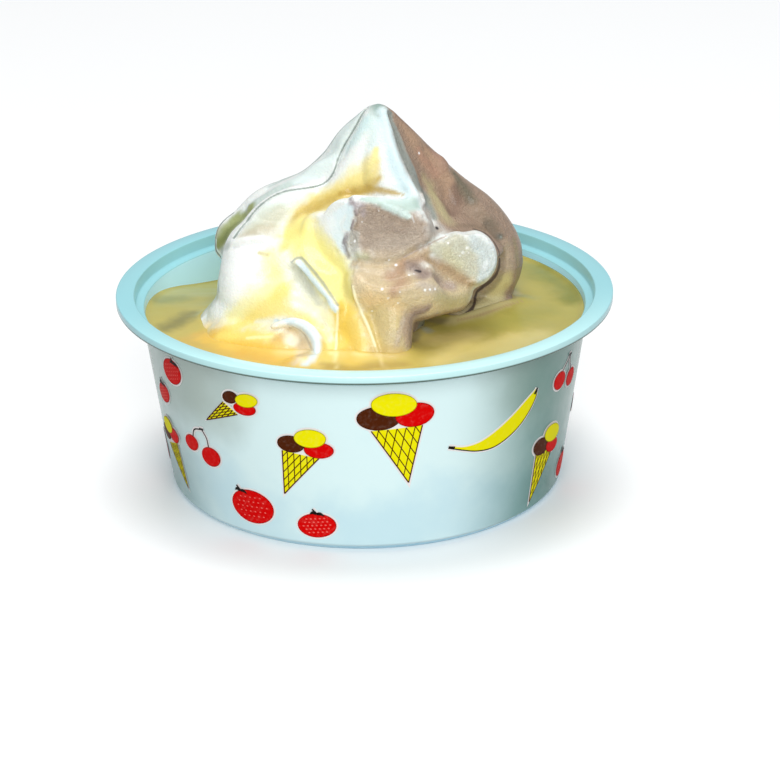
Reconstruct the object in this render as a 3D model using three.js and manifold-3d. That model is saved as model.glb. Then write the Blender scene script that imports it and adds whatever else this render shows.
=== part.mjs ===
// Gelato cup: a thin plastic tub that holds a twist of soft ice cream, vanilla and chocolate,
// with egg sauce round it. Millimetres, +Z up, origin in the middle of the tub's base.
// The twist has sunk and folded as it fell: a coiled core carries folds, lumps and ridges, each
// of them a rounded roll along a short curve, and grooves are rolls that are taken away.

import * as THREE from 'three';
import { mergeVertices } from 'three/addons/utils/BufferGeometryUtils.js';
import Module from 'manifold-3d';

const wasm = await Module();
wasm.setup();

const { degToRad, lerp, clamp, smoothstep } = THREE.MathUtils;
const CLEAR = 0.3; // gap between pieces that touch

// ---- sizes of the tub ----
const RIM_R = 55; // outer edge of the turned-down lip
const RIM_TOP = 44.4; // height of the tub
const RIM_ROUND = 0.35;
const LIP_DROP = 1.8; // how far the lip hangs below the rim's top
const SKIN = 0.75; // thickness of the plastic
const FLANGE_R = 51; // where the flat rim ends and the step goes down
const STEP_LEAN = 0.3; // how much narrower the step is at its foot
const LEDGE_TOP = 41.8; // the ledge that a lid would sit in
const LEDGE_R = 48.9; // inner edge of the ledge, where the wall begins
const LEDGE_SLOPE = 0.3;
const BASE_R = 44; // radius of the wall at the bottom
const BASE_ROUND = 1.6;
const TUB_SIDES = 72;

// ---- sizes of the sauce ----
const SAUCE_LEVEL = 39.5;
const SAUCE_DIP = 5.5; // how much lower it stands in the hollow behind the left fold
const DIP_ANGLE = degToRad(133);
const DIP_SPREAD = degToRad(26);
const SAUCE_SIDES = 60;
const SAUCE_RINGS = [0, 32, 36, 40, 44]; // radii of the rings on its surface

// ---- sizes of the ice cream ----
const APEX = 86.2;
const FLOOR = SKIN + CLEAR; // where it stands in the tub
const CORE_SIDES = 56;
const CORE_ROWS = 30;
const ROLL_SIDES = 10;
const COIL_PITCH = 16.5; // height of one turn of the rope
const COIL_CREASE = 2.4; // depth of the crease between two turns
const CREASE_WIDTH = 2.6;
const FLUTES = 3; // ridges that the nozzle leaves along the rope
const FLUTE_DEPTH = 0.35;
const FRONT_DEPTH = 0.8; // the front stands out less far than the sides
const BAY_ANGLE = degToRad(-33); // the bay of sauce under the overhanging lumps
const BAY_SPREAD = degToRad(36);
const BAY_DEPTH = 0.53; // share of the radius that the bay takes away
const BAY_ROOF = 54; // height at which the bay has closed
const BAY_ARCH = 8; // height over which it closes

// Height, radius in front and behind, and sideways drift of the core, from the floor to the tip.
const CORE = [
  [FLOOR, 29, 29, 0, 0],
  [26, 33, 32, 0, 0],
  [39, 34, 33, 0.5, 1],
  [46, 33, 33.5, 1, 1],
  [52, 31, 34, 1.2, 1],
  [56, 28, 32.5, 1, 1],
  [60, 23, 29, 1, 0.5],
  [64, 17, 24.5, 1.5, 0],
  [68, 12, 19, 3, 0],
  [73, 8.8, 13.4, 3.6, 0],
  [78, 6.2, 9, 3.7, 0],
  [83, 3.4, 4.6, 3.4, 0],
  [85.4, 1.8, 1.9, 3.4, 0],
  [APEX, 0, 0, 3.4, 0],
];

// Stops of each roll, [x, y, z, radius]. The front of the cup faces -Y.
const FOLDS = {
  peakFace: [[3.6, -1, 82, 2.2], [4.6, -3.5, 76, 4.4], [6, -6, 70.5, 6.2], [6.5, -7, 66, 7]],
  peakRidge: [[4.6, -0.5, 84.6, 1.2], [7.3, -4, 79.1, 1.5], [9.2, -8, 73.6, 1.9], [11.2, -12.5, 68, 2.4]],
  lip: [[11.2, -12.5, 68, 2.4], [7.9, -15, 67.9, 2.2], [2.6, -16, 68.7, 1.8], [-1.7, -15, 69.2, 1.3]],
  backBand: [
    [2.2, 1.5, 83.2, 2.2], [-2.8, 4.5, 76.5, 3], [-5.9, 7, 70.4, 3.6], [-11.3, 9, 64.2, 4.2],
    [-16.9, 10, 61.5, 4.6], [-21.5, 10.5, 59.5, 4.6], [-26.4, 10.5, 55.5, 4.4], [-30, 9, 53.7, 3.8],
    [-31, 7.5, 51, 2.6],
  ],
  shoulder: [
    [-8, 1, 64.5, 4.2], [-15, -1.5, 63.4, 4.5], [-19.4, -3, 61.7, 4.5], [-22.5, -4, 58.9, 4.4],
    [-24.3, -4.5, 56, 4.2],
  ],
  flank: [
    [5.5, 0.5, 82.5, 2.2], [9.8, 3, 73.9, 4.2], [14.6, 5, 66.2, 5.6], [19.6, 6.5, 59.5, 6.8],
    [24.8, 7, 53.5, 8.2], [27.8, 6.5, 48.2, 8.2], [27, 6.5, 43, 7], [26, 8, 36, 6],
  ],
  brokenLump: [[-3, -15, 63.5, 6], [2, -16, 62.5, 7.5], [8.5, -16, 61.5, 7]],
  tongue: [[14.5, -17, 54.5, 5.8], [22.2, -15.5, 55.9, 6.6]],
  lowerLump: [[2.4, -22, 52, 7], [10.9, -21, 51.5, 7.5], [18.5, -18, 49.6, 5]],
  leg: [[5.5, -23, 50, 6], [6, -26, 45, 4.6], [5.6, -28, 39, 4.4]],
  leftBulge: [[-21.6, -6, 53, 9.4], [-22.3, -9, 46, 10], [-22.5, -9, 38, 9.5]],
  leftFoot: [[-28, -4, 41, 5.5], [-34.5, -6, 38.6, 2.4]],
  frontMound: [[-26, -10, 40, 8.5], [-18, -14, 43.5, 9.5], [-8, -17, 44.5, 9.5]],
  spit: [[20, -6.5, 38.6, 3], [27, -0.5, 38.4, 2.8], [35, 3, 38.2, 1.8]],
  straightRidge: [[-14.6, -17.8, 56.3, 1.2], [-5.6, -26.6, 49, 1.4]],
  crescent: crescentStops({ x: -14.9, y: -32.6, z: 41, radius: 5, thick: 1.5, lean: 1 }),
};
const APRON = [[-25, -17, 37, 10.5], [-16, -20, 37.5, 12], [-7, -22, 37.5, 11.5]];
const APRON_FLAT = 0.68; // the apron's height as a share of its width
const SAUCE_GROOVE = [[-2.4, -23.5, 56, 1.8], [-1.2, -27, 49.5, 2.4], [-0.8, -32, 42.5, 2]];

// ---- helpers ----
const vec = (p) => new THREE.Vector3(...p);

/** Smooth step from 0 to 1 as value goes from low to high. */
const ease = (low, high, value) => smoothstep(value, low, high);

/** Bell curve of a distance: 1 at 0, and small past twice the width. */
const bell = (distance, width) => Math.exp(-((distance / width) ** 2));

/** Smallest angle between two directions, in radians. */
function angleBetween(one, other) {
  return Math.abs(Math.atan2(Math.sin(one - other), Math.cos(one - other)));
}

/** A closed geometry as a manifold solid, its doubled vertices merged and flat triangles dropped. */
function solid(geometry) {
  const bare = geometry.clone();
  bare.deleteAttribute('normal');
  bare.deleteAttribute('uv');
  const merged = mergeVertices(bare, 1e-4);
  const index = merged.index.array;
  const triangles = [];
  for (let i = 0; i < index.length; i += 3) {
    const [a, b, c] = [index[i], index[i + 1], index[i + 2]];
    if (a !== b && b !== c && c !== a) triangles.push(a, b, c);
  }
  return new wasm.Manifold(new wasm.Mesh({
    numProp: 3,
    vertProperties: new Float32Array(merged.attributes.position.array),
    triVerts: new Uint32Array(triangles),
  }));
}

/** A manifold solid back as a three.js geometry. */
function geometryOf(manifold) {
  const mesh = manifold.getMesh();
  const geometry = new THREE.BufferGeometry();
  geometry.setAttribute('position', new THREE.BufferAttribute(mesh.vertProperties, 3));
  geometry.setIndex(new THREE.BufferAttribute(mesh.triVerts, 1));
  return geometry;
}

/** Moves every vertex of a geometry by a function that changes the vector it is given. */
function shape(geometry, move) {
  const position = geometry.attributes.position;
  const point = new THREE.Vector3();
  for (let i = 0; i < position.count; i += 1) {
    point.fromBufferAttribute(position, i);
    move(point);
    position.setXYZ(i, point.x, point.y, point.z);
  }
  return geometry;
}

/** A profile of [radius, height] pairs turned round the Z axis. */
function turned(profile, sides) {
  const points = profile.map(([radius, height]) => new THREE.Vector2(radius, height));
  return new THREE.LatheGeometry(points, sides).rotateX(Math.PI / 2);
}

/** The axis, X, Y or Z, that a curve never runs close to. */
function clearAxis(curve) {
  const tangents = [0, 0.25, 0.5, 0.75, 1].map((share) => curve.getTangentAt(share));
  const worst = ['x', 'y', 'z'].map((axis) => Math.max(...tangents.map((t) => Math.abs(t[axis]))));
  return new THREE.Vector3().setComponent(worst.indexOf(Math.min(...worst)), 1);
}

/**
 * A rounded roll along a smooth curve through stops of [x, y, z, radius]. grow makes it thicker
 * all round, and flat squeezes it along the axis that it never runs close to.
 */
function roll(stops, grow, flat = 1) {
  const curve = new THREE.CatmullRomCurve3(stops.map((stop) => vec(stop.slice(0, 3))));
  const radii = new THREE.CatmullRomCurve3(stops.map((stop, i) => vec([i, stop[3] + grow, 0])));
  const length = curve.getLength();
  const first = stops[0][3] + grow;
  const last = stops[stops.length - 1][3] + grow;
  const facing = clearAxis(curve);
  const ball = new THREE.SphereGeometry(1, ROLL_SIDES, 6 + 2 * stops.length);
  return shape(ball, (point) => {
    const along = -first + (length + first + last) * (1 - point.y) / 2;
    const onCurve = clamp(along, 0, length);
    const past = along - onCurve;
    const share = onCurve / length;
    const direction = curve.getTangentAt(share);
    const up = facing.clone().addScaledVector(direction, -facing.dot(direction)).normalize();
    const side = new THREE.Vector3().crossVectors(up, direction);
    const waist = Math.sqrt(Math.max(0, 1 - (past / (past < 0 ? first : last)) ** 2));
    const radius = radii.getPoint(share).y * waist;
    const ring = Math.hypot(point.x, point.z) || 1;
    const across = radius * point.x / ring;
    const high = radius * flat * point.z / ring;
    point.copy(curve.getPointAt(share)).addScaledVector(direction, past);
    point.addScaledVector(side, across).addScaledVector(up, high);
  });
}

/** The point of a rising curve, whose second coordinate is its height, at a height. */
function heightOn(curve, height) {
  let low = 0;
  let high = 1;
  for (let i = 0; i < 24; i += 1) {
    const middle = (low + high) / 2;
    if (curve.getPoint(middle).y < height) low = middle;
    else high = middle;
  }
  return curve.getPoint(low);
}

// ---- tub ----
/** Radius of the wall's inner face at a height. */
function wallInside(height) {
  return lerp(BASE_R - SKIN, LEDGE_R, height / (LEDGE_TOP - LEDGE_SLOPE));
}

function tubGeometry() {
  const under = RIM_TOP - SKIN;
  const wallTop = LEDGE_TOP - SKIN;
  const cornerSteps = 3;
  const corner = Array.from({ length: cornerSteps + 1 }, (_, i) => {
    const turn = (i / cornerSteps) * (Math.PI / 2);
    return [BASE_R - BASE_ROUND * (1 - Math.sin(turn)), BASE_ROUND * (1 - Math.cos(turn))];
  });
  return turned([
    [0, 0],
    ...corner,
    [LEDGE_R + SKIN, wallTop],
    [FLANGE_R + SKIN, wallTop],
    [FLANGE_R + SKIN, under],
    [RIM_R - SKIN, under],
    [RIM_R - SKIN, RIM_TOP - LIP_DROP],
    [RIM_R, RIM_TOP - LIP_DROP],
    [RIM_R, RIM_TOP - RIM_ROUND],
    [RIM_R - RIM_ROUND, RIM_TOP],
    [FLANGE_R, RIM_TOP],
    [FLANGE_R - STEP_LEAN, LEDGE_TOP],
    [LEDGE_R, LEDGE_TOP - LEDGE_SLOPE],
    [wallInside(BASE_ROUND + SKIN), BASE_ROUND + SKIN],
    [wallInside(SKIN) - BASE_ROUND, SKIN],
    [0, SKIN],
  ], TUB_SIDES);
}

// ---- ice cream ----
/** Depth of the crease and the flutes of the rope at an angle and a height. */
function ropeRelief(angle, height) {
  const turn = angle / (2 * Math.PI) - (height - FLOOR) / COIL_PITCH;
  const phase = turn - Math.floor(turn);
  const toCrease = Math.min(phase, 1 - phase) * COIL_PITCH;
  return COIL_CREASE * bell(toCrease, CREASE_WIDTH) + FLUTE_DEPTH * Math.cos(2 * Math.PI * FLUTES * phase);
}

/** Share of the core's radius that the bay takes at an angle and a height. */
function bayShare(angle, height) {
  const open = 1 - ease(BAY_ROOF - BAY_ARCH, BAY_ROOF, height);
  return BAY_DEPTH * bell(angleBetween(angle, BAY_ANGLE), BAY_SPREAD) * open;
}

/** The coiled core: narrow in front, where the folds lie on it, and as wide as the coils behind. */
function coreGeometry(grow) {
  const line = new THREE.CatmullRomCurve3(CORE.map(([z, front, back]) => vec([front, z, back - front])));
  const drift = new THREE.CatmullRomCurve3(CORE.map(([z, , , x, y]) => vec([x, z, y])));
  const profile = [[0, FLOOR]];
  for (let row = 0; row <= CORE_ROWS; row += 1) {
    const point = line.getPoint((row / CORE_ROWS) ** 0.8);
    profile.push([row === CORE_ROWS ? 0 : point.x, point.y]);
  }
  return shape(turned(profile, CORE_SIDES), (point) => {
    const radius = Math.hypot(point.x, point.y);
    const angle = Math.atan2(point.y, point.x);
    const height = point.z;
    const wider = heightOn(line, height).z * ease(-0.05, 0.22, Math.sin(angle));
    const rope = ropeRelief(angle, height) * ease(-0.35, 0.35, Math.sin(angle));
    const shown = ease(36, 44, height) * ease(2, 12, radius);
    const full = (radius + wider - rope * shown + grow) * (1 - bayShare(angle, height));
    const scale = radius > 0.001 ? full / radius : 1;
    const at = heightOn(drift, height);
    point.x = point.x * scale + at.x;
    point.y = point.y * scale * (point.y < 0 ? FRONT_DEPTH : 1) + at.z;
    if (height > APEX - 1) point.z += grow;
  });
}

/** Stops of a ridge curled on the slope: it opens out as it rises and thins at both ends. */
function crescentStops({ x, y, z, radius, thick, lean }) {
  const steps = 6;
  return Array.from({ length: steps + 1 }, (_, i) => {
    const share = i / steps;
    const angle = degToRad(lerp(-38, 128, share));
    const reach = radius * lerp(1, 1.4, share ** 2);
    const rise = 0.8 * reach * Math.sin(angle);
    const width = thick * lerp(0.55, 1, Math.sin(Math.PI * share));
    return [x + reach * Math.cos(angle), y + lean * rise, z + rise, width];
  });
}

/** The whole twist. grow makes it larger all round, to cut its place in the sauce. */
function iceCream(grow) {
  let body = solid(coreGeometry(grow)).add(solid(roll(APRON, grow, APRON_FLAT)));
  for (const stops of Object.values(FOLDS)) body = body.add(solid(roll(stops, grow)));
  return body.subtract(solid(roll(SAUCE_GROOVE, -grow)));
}

// ---- sauce ----
/** How far the sauce's surface lies below its level at a point. */
function sauceDip(point) {
  const away = angleBetween(Math.atan2(point.y, point.x), DIP_ANGLE);
  return SAUCE_DIP * bell(away, DIP_SPREAD) * ease(20, 44, Math.hypot(point.x, point.y));
}

function sauceGeometry() {
  const halfway = SAUCE_LEVEL / 2;
  const pool = turned([
    [0, FLOOR],
    [wallInside(SKIN) - BASE_ROUND - 2 * CLEAR, FLOOR],
    [wallInside(BASE_ROUND + SKIN) - 2 * CLEAR, BASE_ROUND + FLOOR],
    [wallInside(halfway) - CLEAR, halfway],
    [wallInside(SAUCE_LEVEL) - CLEAR, SAUCE_LEVEL],
    ...SAUCE_RINGS.map((radius) => [radius, SAUCE_LEVEL]).reverse(),
  ], SAUCE_SIDES);
  shape(pool, (point) => {
    if (point.z < SAUCE_LEVEL - 0.01) return;
    point.z -= sauceDip(point);
    const inward = Math.min(1, (wallInside(point.z) - CLEAR) / (Math.hypot(point.x, point.y) || 1));
    point.x *= inward;
    point.y *= inward;
  });
  return geometryOf(solid(pool).subtract(iceCream(CLEAR)));
}

// ---- the object ----
const plastic = new THREE.MeshStandardMaterial({ color: 0xd5f0f0, roughness: 0.3, metalness: 0 });
const cream = new THREE.MeshStandardMaterial({ color: 0xe9dcc8, roughness: 0.45, metalness: 0 });
const eggSauce = new THREE.MeshStandardMaterial({ color: 0xe0c168, roughness: 0.25, metalness: 0 });

/** A named mesh of the group. */
function piece(name, geometry, material) {
  const mesh = new THREE.Mesh(geometry, material);
  mesh.name = name;
  return mesh;
}

const gelatoCup = new THREE.Group();
gelatoCup.add(
  piece('tub', tubGeometry(), plastic),
  piece('soft_ice_twist', geometryOf(iceCream(0)), cream),
  piece('egg_sauce', sauceGeometry(), eggSauce),
);

export default gelatoCup;
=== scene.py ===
"""Gelato cup: a printed plastic tub that holds a twist of soft ice cream in egg sauce.

Every piece is modelled in millimetres, Z up, with its origin in the middle of the tub's base,
and is brought to metres when its mesh is finished.
"""

import math

import bmesh
import bpy
import numpy as np
from mathutils import Matrix, Vector, noise
from mathutils.bvhtree import BVHTree


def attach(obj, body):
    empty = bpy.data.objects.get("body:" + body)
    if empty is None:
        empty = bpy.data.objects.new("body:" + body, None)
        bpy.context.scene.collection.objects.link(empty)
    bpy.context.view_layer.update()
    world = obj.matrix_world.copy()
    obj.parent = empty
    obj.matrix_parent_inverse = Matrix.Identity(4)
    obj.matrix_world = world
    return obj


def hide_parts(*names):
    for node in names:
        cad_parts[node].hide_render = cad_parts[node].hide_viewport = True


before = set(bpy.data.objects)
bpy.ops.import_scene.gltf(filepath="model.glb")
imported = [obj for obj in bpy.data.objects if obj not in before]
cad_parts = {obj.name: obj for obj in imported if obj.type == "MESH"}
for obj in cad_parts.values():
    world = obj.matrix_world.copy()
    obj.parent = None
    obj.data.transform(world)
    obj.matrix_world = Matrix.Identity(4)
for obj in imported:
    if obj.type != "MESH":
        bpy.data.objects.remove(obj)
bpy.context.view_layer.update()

MM = 0.001

# ---- view ----
FRAME = 780  # points across the square frame
SENSOR = 36
LENS = 122.85  # millimetres, on a sensor SENSOR wide
EYE = Vector((5.4246, -556.177, 244.426))
TILT = math.radians(90 - 22.034)
TURN = math.radians(-0.5364)
LOOK = Matrix.Rotation(TILT, 3, "X") @ Matrix.Rotation(TURN, 3, "Z")
PER_MM = 4.44  # points in a millimetre of the object

# ---- sizes of the tub ----
RIM_R = 55
RIM_TOP = 44.4
LIP_DROP = 1.8
SKIN = 0.75
FLANGE_R = 51
STEP_LEAN = 0.3
LEDGE_TOP = 41.8
LEDGE_R = 48.9
LEDGE_SLOPE = 0.3
BASE_R = 44
BASE_ROUND = 1.6
TUB_STEPS = 192
EDGE_ROUND = 0.28
LEVEL = 1e-3  # an edge with less rise than this runs round the tub
WALL_TOP = LEDGE_TOP - SKIN
LIP_UNDER = RIM_TOP - LIP_DROP

# ---- sizes of the sauce ----
SAUCE_LEVEL = 39.5
SAUCE_DIP = 5.5
DIP_ANGLE = math.radians(133)
DIP_SPREAD = math.radians(26)
DIP_EDGE = (20, 44)  # the hollow starts at the first radius and is full at the second
SAUCE_STEPS = 300
SURFACE = 0.01  # vertices no deeper than this below the level are the sauce's surface
SAUCE_CLOSE = 0.05  # how far the sauce reaches into the wall, so that no gap shows
SHORE = (1, 1.5)  # height and reach of its edge where it wets the ice cream
SHORE_DRAPED = (1.7, 2.3)  # how much higher and wider that edge is where the sauce climbs
SHORE_SEARCH = 12  # how far from the ice cream that edge is looked for
SHORE_ABOVE = 0.5  # how far above the surface it is measured
SAUCE_RINGS = (20, 46, 53)  # radii that its rings of faces start and end at, and how many there are
WALL_RINGS = (46.5, 1.9, 7)  # the closer ones at the wall: radius, width and how many there are
RING_GAP = 0.02  # the last ring stays this far inside the wall
SWELL_EDGE = (48, 42)  # its slow waves begin at the first radius and are full at the second
WALL_SHORE = (0.5, 0.8)  # height and reach of its edge at the wall
SWELL = (0.35, 0.11)  # height of its slow waves, and how many there are in a millimetre
DRAPE_ANGLE = math.radians(-108)  # where the sauce climbs highest on the ice cream
DRAPE_SPREAD = math.radians(24)
SUNNY_SPREAD = math.radians(48)  # painted light makes the sauce yellower round the same side; elsewhere it is olive, in painted shade

# ---- sizes of the ice cream ----
APEX = 86.2
FLOOR = SKIN + 0.3
COIL_PITCH = 16.5
COIL_CREASE = 2.4
CREASE_WIDTH = 2.6
FLUTES = 3
FLUTE_DEPTH = 0.35
FRONT_DEPTH = 0.8
BACK_WIDE = (-0.05, 0.22)  # sines of the angle between which the core grows to its width behind
BACK_COILS = (-0.35, 0.35)  # and between which its coils grow to their full depth
COIL_FOOT = (36, 44)  # heights between which they do so at the foot
COIL_TIP = (2, 12)  # radii between which they do so at the tip
CORE_CROWD = 0.8  # below 1, the core's rows stand closer together near the tip
ROLL_RINGS = 8  # rings of faces of a roll, and
STOP_RINGS = 6  # how many more it has for each stop
POLE = 1e-6  # the poles of a ball are closer to its axis than this
STRIDE = 0.01  # the direction of a curve is read this far to either side, as a share of its length
CORE_ROWS = 96
CORE_SIDES = 180
BAY_ANGLE = math.radians(-33)
BAY_SPREAD = math.radians(36)
BAY_DEPTH = 0.53
BAY_ROOF = 54
BAY_ARCH = 8
GRAIN = 0.45  # size of the faces of the finished skin
FINE = 0.45  # lines thinner than this get smaller faces
LINE = 0.75  # creases thinner than this follow the surface closely
THIN = 2.2  # so do brush strokes with a smaller radius, in points
SUNK = 34.5  # below this height the sauce hides the ice cream, and its skin is plain
SUNK_RINGS = ((SUNK - 18, 0.97), (FLOOR, 0.88))  # height and share of the width of its plain foot
SMOOTH_BEFORE = 5  # rounds of smoothing before the torn facets are cut
SMOOTH_AFTER = 2
LINE_STEP = 9  # points between two places of a line that follows the surface
GAP = 5.3  # a line breaks where the surface jumps this far
SAME = 1e-4  # vertices closer than this become one
TINY = 1e-3  # the least width or radius that anything is divided by

# Height, radius in front and behind, and sideways drift of the core, from the floor to the tip.
CORE = [
    (FLOOR, 29, 29, 0, 0),
    (26, 33, 32, 0, 0),
    (39, 34, 33, 0.5, 1),
    (46, 33, 33.5, 1, 1),
    (52, 31, 34, 1.2, 1),
    (56, 28, 32.5, 1, 1),
    (60, 23, 29, 1, 0.5),
    (64, 17, 24.5, 1.5, 0),
    (68, 12, 19, 3, 0),
    (73, 8.8, 13.4, 3.6, 0),
    (78, 6.2, 9, 3.7, 0),
    (83, 3.4, 4.6, 3.4, 0),
    (85.4, 1.8, 1.9, 3.4, 0),
    (APEX, 0, 0, 3.4, 0),
]

# Stops of each roll, (x, y, z, radius).
FOLDS = {
    "peak_face": [(3.6, -1, 82, 2.2), (4.6, -3.5, 76, 4.4), (6, -6, 70.5, 6.2), (6.5, -7, 66, 7)],
    "peak_ridge": [
        (4.6, -0.5, 84.6, 1.2), (7.3, -4, 79.1, 1.5), (9.2, -8, 73.6, 1.9), (11.2, -12.5, 68, 2.4),
    ],
    "lip": [(11.2, -12.5, 68, 2.4), (7.9, -15, 67.9, 2.2), (2.6, -16, 68.7, 1.8), (-1.7, -15, 69.2, 1.3)],
    "back_band": [
        (2.2, 1.5, 83.2, 2.2), (-2.8, 4.5, 76.5, 3), (-5.9, 7, 70.4, 3.6), (-11.3, 9, 64.2, 4.2),
        (-16.9, 10, 61.5, 4.6), (-21.5, 10.5, 59.5, 4.6), (-26.4, 10.5, 55.5, 4.4), (-30, 9, 53.7, 3.8),
        (-31, 7.5, 51, 2.6),
    ],
    "shoulder": [
        (-8, 1, 64.5, 4.2), (-15, -1.5, 63.4, 4.5), (-19.4, -3, 61.7, 4.5), (-22.5, -4, 58.9, 4.4),
        (-24.3, -4.5, 56, 4.2),
    ],
    "flank": [
        (5.5, 0.5, 82.5, 2.2), (9.8, 3, 73.9, 4.2), (14.6, 5, 66.2, 5.6), (19.6, 6.5, 59.5, 6.8),
        (24.8, 7, 53.5, 8.2), (27.8, 6.5, 48.2, 8.2), (27, 6.5, 43, 7), (26, 8, 36, 6),
    ],
    "broken_lump": [(-3, -15, 63.5, 6), (2, -16, 62.5, 7.5), (8.5, -16, 61.5, 7)],
    "tongue": [(14.5, -17, 54.5, 5.8), (22.2, -15.5, 55.9, 6.6)],
    "lower_lump": [(2.4, -22, 52, 7), (10.9, -21, 51.5, 7.5), (18.5, -18, 49.6, 5)],
    "leg": [(5.5, -23, 50, 6), (6, -26, 45, 4.6), (5.6, -28, 39, 4.4)],
    "left_bulge": [(-21.6, -6, 53, 9.4), (-22.3, -9, 46, 10), (-22.5, -9, 38, 9.5)],
    "left_foot": [(-28, -4, 41, 5.5), (-33.5, -7, 38.2, 3.4), (-33, -14, 37.6, 3.4)],
    "front_mound": [(-26, -10, 40, 8.5), (-18, -14, 43.5, 9.5), (-8, -17, 44.5, 9.5)],
    "spit": [(20, -6.5, 38.6, 3), (27, -0.5, 38.4, 2.8), (35, 3, 38.2, 1.8)],
    "straight_ridge": [(-14.6, -17.8, 55.9, 0.9), (-10, -22.2, 52.6, 1.3), (-5.6, -26.6, 49, 1.4)],
}
# Rolls that only fill the hollows between others, so that one surface runs over them.
FILLS = [
    [(0, -19, 57.5, 5.5), (8, -19, 57, 5.5), (15, -16.5, 57, 5)],
    [(-2, -21, 50, 5), (-0.5, -25, 44, 5), (0.5, -28, 38, 5)],
    [(-9, -11, 61, 4.5), (-8.5, -17, 54, 5), (-5, -22, 46, 6)],
    [(-12.5, -7, 60.2, 4), (-11, -12, 56.8, 4.4), (-8.5, -17, 52.4, 4.6)],
]
APRON = [(-25, -17, 37, 10.5), (-16, -20, 37.5, 12), (-7, -22, 37.5, 11.5)]
APRON_FLAT = 0.68
CRESCENT = {"x": -14.9, "y": -32.6, "z": 41, "radius": 5, "thick": 1.5}
CRESCENT_START = -75  # degrees
CRESCENT_SWEEP = 203
CRESCENT_STEPS = 8
CRESCENT_SLOPE = 0.8  # rise of the slope that it lies on, and how far its low end dips
CRESCENT_OPENING = 0.4  # how far it opens out towards its end, as a share of its radius
CRESCENT_ENDS = 0.55  # thickness of its ends, and
CRESCENT_SWELL = 0.45  # how much thicker it is in the middle, as shares of its thickness


# ---- helpers ----
def ease(low, high, value):
    """Smooth step from 0 to 1 as value goes from low to high."""
    share = np.clip((value - low) / (high - low), 0, 1)
    return share * share * (3 - 2 * share)


def bell(distance, width):
    """Bell curve of a distance: 1 at 0, and small past twice the width."""
    return np.exp(-((distance / width) ** 2))


def angle_between(one, other):
    """Smallest angle between two directions, in radians."""
    return np.abs(np.arctan2(np.sin(one - other), np.cos(one - other)))


def smooth_curve(stops, steps=20):
    """Points along the smooth curve through the stops, at even steps between each two."""
    stops = np.asarray(stops, float)
    knots = np.vstack([2 * stops[0] - stops[1], stops, 2 * stops[-1] - stops[-2]])
    gaps = np.sqrt(np.linalg.norm(np.diff(knots, axis=0), axis=1))
    t = np.linspace(0, 1, steps, endpoint=False)[:, None]
    made = []
    for i in range(len(stops) - 1):
        before, start, end, after = knots[i : i + 4]
        g0, g1, g2 = gaps[i : i + 3]
        out = g1 * ((start - before) / g0 - (end - before) / (g0 + g1) + (end - start) / g1)
        into = g1 * ((end - start) / g1 - (after - start) / (g1 + g2) + (after - end) / g2)
        turn = 3 * (end - start) - 2 * out - into
        bend = 2 * (start - end) + out + into
        made.append(start + out * t + turn * t**2 + bend * t**3)
    return np.vstack([*made, stops[-1:]])


def positions(bm):
    """The bmesh's vertices as rows of x, y, z."""
    return np.array([vert.co for vert in bm.verts])


def put(bm, rows):
    """Moves the bmesh's vertices to the rows of x, y, z."""
    for vert, row in zip(bm.verts, rows):
        vert.co = row


def mesh_of(name, bm, scale=1.0):
    """The bmesh as a mesh, which frees the bmesh."""
    bmesh.ops.scale(bm, vec=(scale,) * 3, verts=bm.verts)
    mesh = bpy.data.meshes.new(name)
    bm.to_mesh(mesh)
    bm.free()
    return mesh


def placed(name, data):
    """A new object of the scene."""
    made = bpy.data.objects.new(name, data)
    bpy.context.scene.collection.objects.link(made)
    return made


def finished(name, bm, material, slot, *nodes):
    """A piece of the object in metres, smooth, with its material, hiding the model's parts that it
    replaces; the slot is not used.
    """
    piece = placed(name, mesh_of(name, bm, MM))
    piece.data.shade_smooth()
    piece.data.materials.append(material)
    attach(piece, "root")
    if nodes:
        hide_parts(*nodes)


def closed(bm):
    """The same bmesh with its poles and seams closed and its faces outwards."""
    bmesh.ops.remove_doubles(bm, verts=bm.verts, dist=SAME)
    bmesh.ops.recalc_face_normals(bm, faces=bm.faces)
    return bm


def polar(at):
    """Distance of rows of x, y from the Z axis, and their angle round it."""
    return np.hypot(at[:, 0], at[:, 1]), np.arctan2(at[:, 1], at[:, 0])


def turned(profile, steps):
    """A closed shell: pairs of radius and height, from pole to pole, spun round the Z axis."""
    bm = bmesh.new()
    line = [bm.verts.new((radius, 0, height)) for radius, height in profile]
    edges = [bm.edges.new(pair) for pair in zip(line, line[1:])]
    bmesh.ops.spin(
        bm, geom=line + edges, axis=(0, 0, 1), cent=(0, 0, 0), steps=steps,
        angle=2 * math.pi, use_merge=True,
    )
    return closed(bm)


def wall_inside(height):
    """Radius of the tub's inner face at a height."""
    share = height / (LEDGE_TOP - LEDGE_SLOPE)
    return BASE_R - SKIN + (LEDGE_R - BASE_R + SKIN) * share


def wall_outside(height):
    """Radius of the tub's outer face at a height."""
    share = (height - BASE_ROUND) / (WALL_TOP - BASE_ROUND)
    return BASE_R + (LEDGE_R + SKIN - BASE_R) * share


# ---- materials ----
def ink(code):
    """A linear colour from a hexadecimal code."""
    shares = [int(code[i : i + 2], 16) / 255 for i in (0, 2, 4)]
    return tuple(s / 12.92 if s <= 0.04045 else ((s + 0.055) / 1.055) ** 2.4 for s in shares)


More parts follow.
